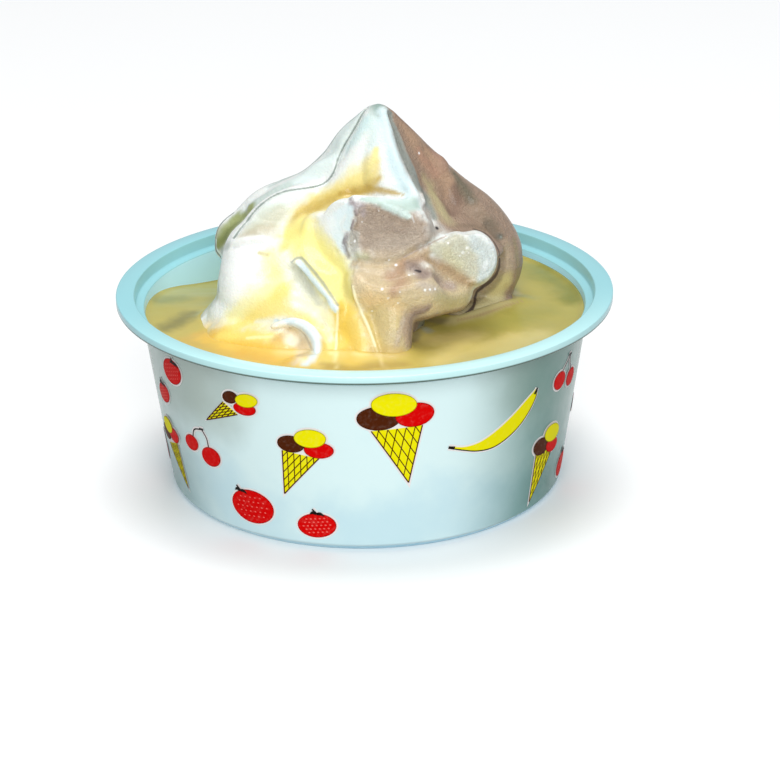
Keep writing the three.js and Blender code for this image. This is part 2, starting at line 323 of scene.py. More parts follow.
class Shade:
    """A socket of a material's node tree that takes part in expressions."""

    def __init__(self, tree, socket):
        self.tree = tree
        self.socket = socket

    def node(self, kind, settings=None, output=0, **values):
        """A node with its settings and the values or links of its sockets; gives one output."""
        made = self.tree.nodes.new(kind)
        for key, value in (settings or {}).items():
            setattr(made, key, value)
        for key, value in values.items():
            socket = made.inputs[int(key[1:]) if key[1:].isdigit() else key.replace("_", " ")]
            if isinstance(value, Shade):
                self.tree.links.new(value.socket, socket)
            else:
                socket.default_value = value
        return Shade(self.tree, made.outputs[output])

    def math(self, operation, *values):
        """A sum or another operation on the values."""
        sockets = {f"i{i}": value for i, value in enumerate(values)}
        return self.node("ShaderNodeMath", {"operation": operation}, **sockets)

    def __add__(self, other):
        return self.math("ADD", self, other)

    def __sub__(self, other):
        return self.math("SUBTRACT", self, other)

    def __rsub__(self, other):
        return self.math("SUBTRACT", other, self)

    def __mul__(self, other):
        return self.math("MULTIPLY", self, other)

    def step(self, low, high):
        """Smooth step of the value from 0 at low to 1 at high."""
        return self.node(
            "ShaderNodeMapRange", {"interpolation_type": "SMOOTHSTEP"}, i0=self, i1=low, i2=high
        )

    def span(self, low, high):
        """Smooth step of a length between two others in millimetres."""
        return self.step(low * MM, high * MM)

    def tint(self, one, other):
        """A colour that goes from one to the other as the value goes from 0 to 1."""
        return self.node(
            "ShaderNodeMix", {"data_type": "RGBA"}, output=2,
            i0=self, i6=self.rgba(one), i7=self.rgba(other),
        )

    @staticmethod
    def rgba(colour):
        """A colour as a socket takes it."""
        return colour if isinstance(colour, Shade) else (*colour, 1)


class Material:
    """A material with one Principled shader, and the sockets that its looks read."""

    def __init__(self, name, **fixed):
        self.material = bpy.data.materials.new(name)
        self.material.use_nodes = True
        self.tree = self.material.node_tree
        self.shader = self.tree.nodes["Principled BSDF"]
        for key, value in fixed.items():
            self.shader.inputs[key.replace("_", " ")].default_value = value
        self.place = Shade(self.tree, self.tree.nodes.new("ShaderNodeTexCoord").outputs["Object"])

    def painted(self, name):
        """The colours of an attribute that the piece's mesh carries."""
        return self.place.node("ShaderNodeAttribute", {"attribute_name": name})

    def parts(self, kind, **values):
        """The outputs of a node that splits a colour or a place."""
        first = self.place.node(kind, **values)
        return [Shade(self.tree, output) for output in first.socket.node.outputs]

    def noise(self, size, detail=2.0, rough=0.5):
        """Cloudy noise with patches of about a size in millimetres."""
        return self.place.node(
            "ShaderNodeTexNoise", Vector=self.place, Scale=1 / (size * MM), Detail=detail, Roughness=rough
        )

    def link(self, socket, shade):
        """Gives a socket of the shader its look."""
        self.tree.links.new(shade.socket, self.shader.inputs[socket])

    def relief(self, height, strength, depth):
        """Bumps the surface by a height from 0 to 1 over a depth in millimetres."""
        bump = self.place.node("ShaderNodeBump", Height=height, Strength=strength, Distance=depth * MM)
        self.link("Normal", bump)


# Where painted shade darkens the wall outside at its sides: angles to one side of the front, in radians,
# where the patch starts, is full, starts to fade and ends, and how dark it is.
PAINTED_SHADE_RIGHT = (0.36, 1.05, 1.15, 1.9, 0.75)
PAINTED_SHADE_LEFT = (0.7, 1.3, 1.3, 1.9, 0.55)
INK_SHEEN = 0.12


def darker(turn, drift, start, full, fade, end, share):
    """A cloudy patch of painted shade that darkens the wall at angles to one side of the front."""
    return turn.step(start, full) * (1 - turn.step(fade, end)) * (drift * 0.3 + share)


def plastic_material():
    """Pale blue plastic, cloudy outside, with painted light in front and painted shade at the sides and
    under the lip.
    """
    made = Material("tub_plastic", IOR=1.5, Specular_IOR_Level=0.3, Coat_Roughness=0.07)
    x, y, height = made.parts("ShaderNodeSeparateXYZ", Vector=made.place)
    square = x * x + y * y
    radius = square.math("POWER", square, 0.5)
    slope = (wall_outside(30) - wall_outside(10)) / 20
    middle = height * slope + (wall_outside(0) - SKIN / 2) * MM
    inside = (middle - radius).span(-0.1, 0.1)
    above = height.span(WALL_TOP + 0.1, WALL_TOP + 0.3)
    rim = (inside + above).step(0.4, 0.6)
    # Inside: bluer than the rim, in painted shade, and paler on the left, in painted light. Rim: paler in
    # front, in painted light.
    shade = (x * -1.0).span(-10, 30).tint(ink("b0e8ff"), ink("c0f0ff"))
    rim_painted_light = (0.0 - y + x * 0.15).span(4, 56).tint(ink("98d2da"), ink("c6eeee"))
    blue = (inside * (1 - above)).tint(rim_painted_light, shade)
    # Outside: blue smudges near the base; grey clouds under the rim towards the sides, painted shade
    # with the sauce seen through the wall; and darker clouds of painted shade at the sides.
    cloud = made.noise(22, 2.0)
    drift = made.noise(9, 3.0)
    side = (x * x).math("POWER", x * x, 0.5).span(8, 42)
    grey_shade = (height.span(14, 32) * side + cloud * 0.9 + drift * 0.25).step(0.85, 1.65)
    smudge = ((1 - height.span(6, 24)) * 0.35 + cloud * 0.5 + drift * 0.4).step(0.5, 0.85) * 0.6
    turn = x.math("ARCTAN2", x, y * -1.0)
    dark = darker(turn, drift, *PAINTED_SHADE_RIGHT) + darker(turn * -1.0, drift, *PAINTED_SHADE_LEFT)
    outer = grey_shade.tint(smudge.tint(ink("e6ffff"), ink("c2e8f4")), ink("b4c6bd"))
    colour = rim.tint(dark.tint(outer, ink("427f74")), blue)
    # painted shadow: a dark line on the wall just under the lip
    lip = radius.span(RIM_R - 1.2, RIM_R - 0.9) * (1 - height.span(LIP_UNDER + 0.3, LIP_UNDER + 0.6))
    made.link("Base Color", lip.tint(colour, ink("4b6158")))
    made.link("Roughness", made.noise(3) * 0.04 + 0.24)
    made.link("Coat Weight", 0.3 - dark * 0.3)
    return made.material


def print_material():
    """Ink that lies matt on the plastic, a little uneven."""
    made = Material("tub_print", IOR=1.3, Specular_IOR_Level=INK_SHEEN)
    grain = made.noise(0.8, 3.0).step(0.45, 0.8) * 0.04
    made.link("Base Color", grain.tint(made.painted("ink"), (0.9, 0.85, 0.75)))
    made.link("Roughness", made.noise(1.5) * 0.1 + 0.5)
    return made.material


def ice_material():
    """Soft ice: rough and mottled where it has torn, glossy where sauce has run over it."""
    made = Material(
        "soft_ice", Subsurface_Weight=0.1, Subsurface_Scale=0.0015, Subsurface_Radius=(1, 0.75, 0.55),
        IOR=1.4, Coat_Roughness=0.12,
    )
    wet, rough, _ = made.parts("ShaderNodeSeparateColor", Color=made.painted("touch"))
    mottle = made.noise(1.6, 4.0, 0.6).step(0.3, 0.72)
    speck = made.noise(0.45, 3.0, 0.65).step(0.35, 0.7)
    shadow = (mottle * 0.55 + speck * 0.45) * rough * 0.5
    made.link("Base Color", shadow.tint(made.painted("paint"), ink("7d6a5c")))
    made.link("Roughness", 0.55 - wet * 0.37 + rough * 0.12)
    made.link("Coat Weight", wet * 0.6)
    made.relief(mottle * rough + speck * (rough * 0.6 + 0.08), 0.9, 0.35)
    return made.material


def sauce_material():
    """Egg sauce: smooth, with a soft gloss and slow waves."""
    made = Material(
        "egg_sauce", Subsurface_Weight=0.15, Subsurface_Scale=0.002, Subsurface_Radius=(1, 0.7, 0.3),
        IOR=1.45, Coat_Weight=0.25, Coat_Roughness=0.25,
    )
    drift = made.noise(9, 3.0).step(0.35, 0.7) * 0.18
    made.link("Base Color", drift.tint(made.painted("paint"), ink("cdb860")))
    made.link("Roughness", made.noise(6) * 0.1 + 0.3)
    made.relief(made.noise(7, 2.0), 0.35, 0.5)
    return made.material


# ---- ice cream ----
class Route:
    """A smooth curve through stops of x, y, z and radius, read by the share of its length."""

    def __init__(self, stops):
        stops = np.asarray(stops, float)
        self.points = smooth_curve(stops[:, :3])
        along = np.linalg.norm(np.diff(self.points, axis=0), axis=1)
        self.length = along.sum()
        self.shares = np.concatenate([[0], np.cumsum(along)]) / self.length
        ordered = np.column_stack([np.arange(len(stops)), stops[:, 3], np.zeros(len(stops))])
        self.radii = smooth_curve(ordered)[:, 1]

    def at(self, share):
        return np.column_stack([np.interp(share, self.shares, axis) for axis in self.points.T])

    def direction(self, share):
        step = self.at(np.minimum(share + STRIDE, 1)) - self.at(np.maximum(share - STRIDE, 0))
        return step / np.linalg.norm(step, axis=1)[:, None]

    def radius(self, share):
        return np.interp(share, np.linspace(0, 1, len(self.radii)), self.radii)


def roll(stops, flat=1.0, sides=28):
    """A rounded roll along the smooth curve through the stops, squeezed by flat across."""
    route = Route(stops)
    ball = bmesh.new()
    rings = ROLL_RINGS + STOP_RINGS * len(stops)
    bmesh.ops.create_uvsphere(ball, u_segments=sides, v_segments=rings, radius=1)
    unit = positions(ball)
    first, last = stops[0][3], stops[-1][3]
    along = -first + (route.length + first + last) * (1 - unit[:, 2]) / 2
    on_route = np.clip(along, 0, route.length)
    past = along - on_route
    share = on_route / route.length
    direction = route.direction(share)
    worst = np.abs(route.direction(np.linspace(0, 1, 5))).max(axis=0)
    facing = np.eye(3)[worst.argmin()]
    up = facing - direction * (direction @ facing)[:, None]
    up /= np.linalg.norm(up, axis=1)[:, None]
    side = np.cross(up, direction)
    waist = np.sqrt(np.clip(1 - (past / np.where(past < 0, first, last)) ** 2, 0, 1))
    radius = route.radius(share) * waist
    ring = np.maximum(np.hypot(unit[:, 0], unit[:, 1]), POLE)
    across = (radius * unit[:, 0] / ring)[:, None]
    high = (radius * flat * unit[:, 1] / ring)[:, None]
    put(ball, route.at(share) + direction * past[:, None] + side * across + up * high)
    return closed(ball)


def crescent_stops(x, y, z, radius, thick):
    """Stops of a ridge curled from the sauce up the slope: it opens out and thins at both ends."""
    stops = []
    for share in np.arange(CRESCENT_STEPS + 1) / CRESCENT_STEPS:
        angle = math.radians(CRESCENT_START + CRESCENT_SWEEP * share)
        reach = radius * (1 + CRESCENT_OPENING * share**2)
        rise = CRESCENT_SLOPE * reach * math.sin(angle)
        width = thick * (CRESCENT_ENDS + CRESCENT_SWELL * math.sin(math.pi * share))
        stops.append((x + reach * math.cos(angle), y + rise, z + max(rise, -CRESCENT_SLOPE), width))
    return stops


def rope_phase(angle, height):
    """Place across the coiled rope, from 0 at one crease to 1 at the next."""
    turn = angle / (2 * math.pi) - (height - FLOOR) / COIL_PITCH
    return turn - np.floor(turn)


def core():
    """The coiled core: narrow in front, where the folds lie on it, and wide coils behind."""
    line = smooth_curve([(front, z, back - front) for z, front, back, _, _ in CORE])
    drift = smooth_curve([(x, z, y) for z, _, _, x, y in CORE])
    picks = ((np.arange(CORE_ROWS + 1) / CORE_ROWS) ** CORE_CROWD * (len(line) - 1)).astype(int)
    profile = [(0, FLOOR), *[(line[i][0], line[i][1]) for i in picks[:-1]], (0, APEX)]
    bm = turned(profile, CORE_SIDES)
    at = positions(bm)
    radius, angle = polar(at)
    height = at[:, 2]
    wider = np.interp(height, line[:, 1], line[:, 2]) * ease(*BACK_WIDE, np.sin(angle))
    phase = rope_phase(angle, height)
    relief = COIL_CREASE * bell(np.minimum(phase, 1 - phase) * COIL_PITCH, CREASE_WIDTH)
    relief += FLUTE_DEPTH * np.cos(2 * math.pi * FLUTES * phase)
    relief *= ease(*BACK_COILS, np.sin(angle)) * ease(*COIL_FOOT, height) * ease(*COIL_TIP, radius)
    bay = BAY_DEPTH * bell(angle_between(angle, BAY_ANGLE), BAY_SPREAD)
    bay *= 1 - ease(BAY_ROOF - BAY_ARCH, BAY_ROOF, height)
    full = (radius + wider - relief) * (1 - bay)
    scale = np.where(radius > TINY, full / np.maximum(radius, TINY), 1)
    deep = np.where(at[:, 1] < 0, FRONT_DEPTH, 1)
    put(bm, np.column_stack([
        at[:, 0] * scale + np.interp(height, drift[:, 1], drift[:, 0]),
        at[:, 1] * scale * deep + np.interp(height, drift[:, 1], drift[:, 2]),
        height,
    ]))
    return bm


def skin_over(shells, grain):
    """The outside of overlapping closed shells as one even skin of small faces."""
    together = bmesh.new()
    for shell in shells:
        mesh = mesh_of("shell", shell)
        together.from_mesh(mesh)
        bpy.data.meshes.remove(mesh)
    body = placed("melt", mesh_of("melt", together))
    remesh = body.modifiers.new("skin", "REMESH")
    remesh.mode = "VOXEL"
    remesh.voxel_size = grain
    evaluated = body.evaluated_get(bpy.context.evaluated_depsgraph_get())
    mesh = bpy.data.meshes.new_from_object(evaluated)
    skin = bmesh.new()
    skin.from_mesh(mesh)
    shell_mesh = body.data
    bpy.data.objects.remove(body)
    bpy.data.meshes.remove(shell_mesh)
    bpy.data.meshes.remove(mesh)
    return skin


def plain_foot(bm):
    """Cuts off the skin that is sunk in the sauce and closes it with a few large faces."""
    everything = list(bm.verts) + list(bm.edges) + list(bm.faces)
    bmesh.ops.bisect_plane(
        bm, geom=everything, plane_co=(0, 0, SUNK), plane_no=(0, 0, 1), clear_inner=True
    )
    rim = [edge for edge in bm.edges if edge.is_boundary]
    for down, share in SUNK_RINGS:
        made = bmesh.ops.extrude_edge_only(bm, edges=rim)["geom"]
        rim = [part for part in made if isinstance(part, bmesh.types.BMEdge)]
        for vert in {vert for edge in rim for vert in edge.verts}:
            vert.co = (vert.co.x * share, vert.co.y * share, down)
    bmesh.ops.holes_fill(bm, edges=rim)
    bmesh.ops.recalc_face_normals(bm, faces=bm.faces)


def distance_to(points, stops):
    """For each point the distance to a line through stops, and the last column of the stops there."""
    stops = np.asarray(stops, float)
    nearest = np.full(len(points), 1e9)
    width = np.zeros(len(points))
    if len(stops) == 1:
        return np.linalg.norm(points - stops[0][:3], axis=1), np.full(len(points), stops[0][3])
    for one, other in zip(stops, stops[1:]):
        step = other[:3] - one[:3]
        share = np.clip((points - one[:3]) @ step / (step @ step), 0, 1)
        away = np.linalg.norm(points - one[:3] - share[:, None] * step, axis=1)
        closer = away < nearest
        nearest[closer] = away[closer]
        width[closer] = (one[3] + (other[3] - one[3]) * share)[closer]
    return nearest, width


# ---- creases and colours of the ice cream and the sauce ----
# Places on the front are across and down in the view's frame, which is FRAME points wide.
# Where the torn rope is cut flat: place, depth in millimetres, outward normal and reach.
FACETS = [
    ((390, 232), 2.4, (0.12, -0.86, 0.42), 13),
    ((334, 226), 2.6, (-0.66, -0.68, 0.3), 11),
    ((472, 257), 2.6, (0.25, -0.9, 0.35), 10),
]
FACET_FULL = 0.75  # share of its reach within which a facet is cut in full
# Creases and ridges: height and width in millimetres, and the places that the line runs through.
CREASES = {
    "thin crease between back band and the front forms": [(-0.45, 0.45, [(366, 108), (359, 121), (352, 132),
        (343, 146), (337, 162), (333, 175), (323, 184), (309, 188), (290, 190), (277, 194), (264, 202),
        (252, 214), (243, 226), (234, 238)])],
    "wedge valley and its floor": [
        (-0.8, 3.2, [(378, 152), (376, 168), (371, 184)]),
        (-1, 1.2, [(350, 191), (372, 192), (388, 193), (403, 195)]),
    ],
    "ridge and the groove on its right": [
        (0.7, 1.1, [(383, 110), (389, 135), (396, 160), (405, 183), (415, 195)]),
        (-0.9, 1, [(391, 117), (400, 145), (412, 172), (424, 197)]),
    ],
    "gold band valley": [(-0.4, 2.6, [(345, 194), (330, 199), (318, 205)])],
    "broken lump borders": [
        (-0.3, 0.6, [(356, 200), (359, 213), (352, 228), (345, 238), (344, 250), (349, 259)]),
        (-0.5, 0.6, [(360, 204), (375, 206), (392, 213), (407, 222)]),
        (-0.5, 0.6, [(350, 260), (372, 262), (390, 263), (406, 256), (425, 246), (446, 236)]),
    ],
    "tongue outline": [(-0.5, 1.2, [(424, 256), (436, 263), (450, 270), (466, 281)])],
    "hollow under the tongue": [(-0.9, 1.8, [(412, 268), (426, 275), (444, 284)])],
    "beside the straight ridge": [(-1.3, 2, [(296, 272), (306, 287), (319, 302)])],
    "step on the left bulge": [
        (-0.4, 0.6, [(232, 248), (246, 245), (262, 244), (272, 249)]),
        (0.4, 0.9, [(233, 242), (248, 239), (262, 238)]),
    ],
    "bowl inside the crescent": [(-1.2, 2.2, [(292, 341)])],
    "light lines beside the yellow groove": [
        (0.3, 0.45, [(337, 309), (336, 335), (335, 362)]),
        (0.35, 0.5, [(353, 285), (356, 300), (364, 317), (371, 333), (377, 350), (380, 366)]),
    ],
    "flank crease and folds": [
        (-0.7, 1.5, [(452, 172), (461, 186), (469, 203)]),
        (-0.9, 1.8, [(428, 150), (444, 180), (451, 205), (468, 230)]),
        (0.6, 1.5, [(442, 160), (478, 205), (505, 240)]),
        (-0.6, 0.9, [(488, 226), (500, 240), (503, 262)]),
    ],
}


def dabs(colour, strength, softness, *spots):
    """A brush stroke of one dab for each spot."""
    return [(colour, strength, softness, [spot]) for spot in spots]


# Brush strokes: the wetness and roughness of a group, and in it each stroke's colour, strength,
# softness, stops of place and radius and, where they are its own, its wetness and roughness.
PAINT = {
    "ground colours": (0.8, 0.1, [
        ("b9a48f", 1, 0.35, [(376, 228, 24), (402, 228, 22), (420, 232, 14)], 0.3, 0.8),
        ("d6c49e", 1, 0.4, [(368, 288, 24), (395, 290, 28), (425, 290, 26), (455, 290, 20),
            (466, 268, 22)], 0.85, 0.5),
        ("dcc893", 1, 0.4, [(385, 320, 24), (390, 350, 22), (380, 362, 16)], 0.85, 0.3),
        ("f6ea9a", 1, 0.8, [(300, 236, 16), (318, 258, 20), (332, 285, 20), (340, 300, 14)], 0.65, 0.1),
        ("f2d670", 1, 0.6, [(345, 312, 15), (350, 345, 18), (352, 370, 18)]),
        ("eecb60", 1, 0.8, [(200, 342, 18), (235, 350, 24), (275, 358, 24), (310, 364, 18),
            (330, 366, 14)]),
    ]),
    "peak": (0.4, 0.1, [
        ("90aaa2", 0.95, 0.7, [(377, 105, 8), (379, 112, 7)]),
        ("dceeea", 0.9, 0.6, [(372, 126, 12), (368, 142, 13)]),
        ("f7fcf6", 0.9, 0.7, [(362, 142, 10), (355, 158, 14), (345, 176, 10)]),
        ("d0eceb", 0.7, 0.8, [(366, 120, 5), (357, 135, 6), (348, 150, 5)]),
        ("dceef0", 0.95, 0.6, [(383, 112, 6), (388, 130, 8), (392, 150, 8), (398, 170, 9), (407, 188, 9),
            (412, 200, 8)]),
        ("cbe0e4", 0.7, 0.8, [(391, 152, 4), (398, 172, 5), (405, 186, 5)]),
    ]),
    # painted shade: a grey line of shade down the ridge's right slope
    "painted shade on the right slope of the ridge": (0.4, 0.3, [
        ("8f9892", 0.95, 0.5, [(390, 114, 2.8), (396, 132, 3.2), (402, 150, 4), (411, 168, 5),
            (420, 186, 6), (427, 200, 7), (432, 214, 6)]),
        ("7f837c", 0.8, 0.5, [(388, 112, 1.8), (396, 134, 2), (403, 154, 2.2), (413, 175, 2.6),
            (422, 191, 2.6)]),
    ]),
    "back band": (0.5, 0.2, [
        ("dfece8", 0.95, 0.5, [(358, 112, 6), (344, 132, 9), (326, 160, 12), (304, 176, 12),
            (285, 184, 8)], 0.35, 0.1),
        ("c9d8d1", 0.9, 0.5, [(288, 186, 6), (268, 194, 7), (250, 206, 8), (236, 220, 7)], 0.35, 0.15),
        ("b9cbc5", 0.7, 0.7, [(340, 128, 3), (322, 152, 3.5), (300, 171, 3), (270, 186, 3)], 0.35, 0.15),
        # painted shade, tinted olive, in the pocket under the band's end
        ("98a162", 0.95, 0.6, [(217, 243, 9), (226, 232, 9), (237, 220, 8), (250, 208, 6)]),
        ("7c8648", 0.9, 0.8, [(220, 243, 6), (227, 235, 7), (236, 225, 5)]),
        ("96a69d", 0.7, 0.9, [(222, 252, 4.5), (228, 246, 4)]),
        ("e6f1ea", 0.9, 0.5, [(213, 240, 1.6), (216, 249, 1.6), (222, 257, 1.6)], 0.4, 0.1),
    ]),
    # painted shade: thin dark lines where the band's edge turns away and round the pocket
    "painted shade lines along the band and round the olive pocket": (0.4, 0.1, [
        ("8fa39b", 0.8, 0.5, [(360, 105, 0.9), (349, 117, 0.9), (338, 131, 0.9), (327, 147, 0.9),
            (313, 162, 0.9), (298, 172, 0.9), (280, 181, 0.9), (262, 187, 0.9), (248, 195, 0.9),
            (236, 209, 0.9)]),
        ("46584c", 0.9, 0.5, [(232, 213, 1.1), (222, 223, 1.2), (215, 232, 1.2), (212, 241, 1.3),
            (215, 250, 1.3), (221, 258, 1.3)]),
    ]),
    "wedge and gold band": (0.65, 0.2, [
        ("f8ea9c", 0.95, 0.9, [(376, 150, 2.6), (374, 159, 5.5), (369, 168, 9.5), (363, 178, 13),
            (343, 191, 11), (322, 201, 13), (308, 213, 15), (297, 230, 16)], 0.6, 0.1),
        ("eeda86", 0.85, 1, [(377, 163, 3), (374, 175, 7), (358, 185, 9), (336, 195, 10), (318, 204, 12),
            (303, 214, 13), (292, 226, 9)], 0.65, 0.1),
        ("d2b65a", 0.88, 0.9, [(379, 178, 2.6), (374, 184, 5), (357, 189, 6), (336, 196, 7), (319, 203, 9),
            (305, 210, 9), (296, 216, 5)], 0.65, 0.15),
        # painted shade: darker gold where the sauce lies in the crease over the lip
        ("bb9a3e", 0.85, 0.7, [(340, 194, 2.5), (355, 191, 4), (370, 189, 4.4), (382, 190, 3.4),
            (393, 192.5, 2.2), (404, 195, 1.3)]),
        ("c4a64a", 0.75, 1, [(334, 200, 4), (322, 205, 6), (311, 210, 6)]),
    ]),
    "lip": (0.4, 0.15, [
        ("f3e193", 0.55, 1, [(368, 158, 4), (364, 170, 8), (356, 179, 8)], 0.6, 0.1),
        # painted shade: grey on the white lip under the wedge
        ("bdd3c9", 0.97, 0.45, [(362, 199, 2.2), (376, 201, 3.8), (390, 204, 6), (402, 207, 8),
            (413, 204, 8)]),
        ("cfe2dc", 0.6, 0.8, [(380, 199, 2.5), (398, 202, 4), (410, 200, 4)]),
    ]),
    "shoulder": (0.4, 0.1, [
        ("dfebe2", 0.95, 0.8, [(300, 196, 7), (282, 202, 9), (268, 212, 10), (256, 226, 10)]),
        # painted shade: a soft tan and grey zone on the shoulder
        ("c9c8b0", 0.9, 1, [(280, 212, 7), (268, 220, 10), (254, 229, 10), (242, 236, 6)]),
        ("bdb292", 0.7, 1, [(242, 237, 4), (254, 233, 6), (268, 229, 8)], 0.4, 0.15),
        ("eef2ee", 0.85, 0.7, [(234, 243, 3), (248, 240, 3.5), (262, 239, 4), (272, 242, 3)]),
    ]),
    "yellow that runs down from the gold band": (0.65, 0.1, [
        ("f5eb92", 0.95, 0.8, [(298, 232, 12), (310, 246, 14), (324, 258, 15), (338, 272, 13),
            (346, 288, 9)]),
        ("f1e183", 0.8, 0.8, [(300, 230, 6), (288, 236, 6), (284, 246, 5)]),
        ("f0e48e", 0.6, 0.9, [(330, 262, 7), (336, 276, 7)], 0.5, 0.1),
        ("e6d884", 0.9, 0.7, [(346, 278, 5), (349, 296, 6)], 0.65, 0.15),
        ("e7c75c", 0.8, 0.7, [(341, 303, 3.5), (340, 318, 4), (343, 340, 5)], 0.75, 0.15),
    ]),
    "white facet": (0.4, 0.1, [
        ("e9f7f9", 0.97, 0.5, [(348, 206, 4.5), (341, 213, 6), (334, 221, 6.5), (336, 230, 8),
            (341, 241, 6.5), (345, 250, 4)]),
        ("e2f3f6", 0.9, 0.45, [(352, 204, 4), (350, 215, 5), (347, 226, 5)]),
        ("f6fcfb", 0.8, 0.9, [(332, 221, 5), (331, 228, 6)]),
    ]),
    "left bulge and apron": (0.5, 0.15, [
        ("fdfefb", 0.95, 0.7, [(240, 256, 17), (238, 275, 17), (236, 290, 12)], 0.5, 0.1),
        ("f8efa8", 0.92, 0.85, [(270, 256, 8), (272, 270, 12), (276, 284, 14), (264, 299, 16),
            (248, 309, 14), (232, 318, 10)], 0.6, 0.1),
        ("f3da70", 0.85, 0.8, [(286, 288, 8), (278, 303, 11), (262, 315, 10), (244, 324, 9),
            (226, 330, 6)], 0.65, 0.1),
        ("f6e28c", 0.85, 0.8, [(262, 308, 7), (284, 311, 6), (304, 318, 6), (320, 330, 6),
            (330, 345, 6)], 0.65, 0.1),
        ("faf3c4", 0.9, 0.7, [(302, 298, 7), (316, 307, 7), (328, 317, 5), (334, 328, 3)], 0.5, 0.1),
        # painted shade at the bulge's lower left
        ("b4b59a", 0.9, 0.6, [(212, 296, 6), (205, 305, 8), (197, 315, 7)]),
        ("d2d3c8", 0.8, 0.7, [(213, 292, 4), (214, 302, 5), (206, 312, 4)]),
        ("cdc38a", 0.8, 0.6, [(259, 253, 1.4), (268, 255, 1.6)]),
        # painted shade: a thin dark line along the bulge's left edge
        ("6b776e", 0.5, 0.7, [(221, 258, 1), (219, 268, 1.1), (218, 280, 1.1), (219, 292, 1)], 0.4, 0.1),
    ]),
    "beside the straight ridge": (0.4, 0.15, [
        # painted shade in the hollow left of the straight ridge
        ("cccdb8", 0.85, 0.9, [(295, 268, 5), (300, 279, 7.5), (308, 291, 8), (318, 303, 4.5)]),
        ("b9bdb0", 0.5, 0.8, [(297, 266, 3), (305, 279, 3), (313, 291, 3)]),
        ("e2f2f6", 0.97, 0.4, [(299, 262, 3.2), (316, 285, 3.8), (335, 309, 3.4)], 0.4, 0.1),
        # painted shade: a thin dark line along the ridge's upper right edge
        ("8b9892", 0.7, 0.8, [(292, 262, 1), (296, 258.5, 1.3), (301, 257.5, 1.4), (307, 263, 1.3),
            (321, 280, 1.3), (338, 305, 1.2)], 0.4, 0.1),
    ]),
    "chocolate flank": (0.4, 0.4, [
        ("b49479", 0.9, 0.8, [(404, 124, 6), (416, 142, 9), (432, 162, 13), (452, 184, 14)], 0.35, 0.4),
        ("92705e", 0.7, 0.8, [(400, 112, 3), (424, 138, 4), (448, 162, 4)], 0.35, 0.4),
        ("b98f78", 0.7, 0.8, [(420, 152, 5), (434, 172, 6)], 0.35, 0.4),
        ("bfae86", 0.8, 0.8, [(424, 178, 5), (432, 192, 6)], 0.4, 0.3),
        ("c4b98c", 0.85, 1, [(431, 188, 6), (438, 203, 9), (446, 217, 8)], 0.4, 0.3),
        ("836a5a", 0.9, 0.8, [(452, 214, 5), (458, 200, 7), (455, 188, 5)]),
        # painted shade in the flank's fold
        ("5d5e4c", 0.85, 1, [(455, 174, 4), (464, 187, 7), (472, 201, 5)]),
        ("b48f7c", 0.6, 1, [(436, 150, 5), (444, 166, 5)], 0.35, 0.4),
        ("9d8975", 0.8, 0.9, [(474, 212, 8), (484, 224, 9)]),
        ("ab917c", 0.7, 1, [(508, 246, 6), (514, 262, 7), (514, 276, 6)]),
        ("7f7362", 0.8, 0.8, [(490, 226, 8), (496, 236, 8)]),
        ("5f6660", 0.8, 0.7, [(500, 236, 3.4)]),
        ("a8b0a8", 0.8, 0.6, [(501, 237, 1.2)]),
        ("c6b198", 0.9, 0.8, [(504, 252, 9), (506, 266, 9), (504, 277, 7)]),
        ("d3c68e", 0.95, 0.8, [(505, 281, 9), (494, 294, 10), (480, 304, 8), (466, 311, 7)], 0.6, 0.2),
        ("d0c494", 0.9, 0.8, [(500, 298, 6), (486, 306, 6), (474, 313, 6), (462, 316, 5)], 0.6, 0.2),
        # painted shade along the flank's right edge
        ("8f8c5c", 0.45, 1, [(514, 240, 3), (517, 256, 3), (518, 272, 3), (516, 286, 3)], 0.5, 0.3),
        ("b9b2a9", 0.9, 0.7, [(427, 212, 5), (432, 222, 6.5), (428, 232, 5.5), (440, 228, 5)], 0.3, 0.45),
        ("a99d94", 0.7, 0.7, [(424, 206, 3), (428, 218, 3)], 0.35, 0.5),
        ("c2b6a8", 0.75, 0.7, [(424, 241, 2.6), (433, 235, 2.8), (440, 230, 2)], 0.3, 0.45),
    ]),
    "shadow round the tongue on what lies behind it": (0.3, 0.4, [
        ("76664f", 0.5, 0.8, [(458, 226, 2.6), (474, 226, 2.6), (488, 231, 3), (498, 241, 3), (503, 254, 3),
            (503, 268, 3), (498, 281, 3), (490, 290, 3), (482, 297, 2.6)]),
    ]),
    "broken lump": (0.2, 1, [
        ("bba894", 0.97, 0.35, [(366, 214, 9), (376, 228, 20), (396, 234, 22), (412, 238, 12)]),
        ("ae9a86", 0.8, 0.8, [(368, 214, 8), (385, 222, 10), (398, 232, 10)]),
        ("c2b29f", 0.7, 0.8, [(400, 246, 8), (415, 240, 8), (380, 248, 8)], 0.2, 0.8),
        ("c9b391", 0.8, 0.8, [(365, 256, 6), (380, 258, 6), (396, 258, 6), (412, 252, 5)], 0.5, 0.6),
        ("d6ebe5", 0.9, 0.5, [(385, 206, 3.4), (398, 211, 4), (408, 216, 3.4)], 0.4, 0.3),
        ("8f8086", 0.75, 0.9, [(350.5, 199, 2.2), (355, 206, 2.4), (356.5, 214, 1.8)]),
        ("9a8a8e", 0.8, 0.5, [(354, 220, 1), (351, 229, 1.1)]),
        ("9b8f94", 0.65, 1, [(347, 235, 2.4), (345.5, 246, 3), (349, 256, 2.6)]),
        ("ece9e6", 0.6, 0.6, [(346, 241, 0.9), (348, 242.5, 0.8)], 0.2, 0.9),
        ("877a80", 0.6, 0.9, [(344.5, 238, 1.2), (343.5, 243, 1.3)]),
        ("b5a8ab", 0.7, 0.7, [(352, 203, 3.4), (361, 205, 3.4), (363, 214, 3)], 0.2, 0.9),
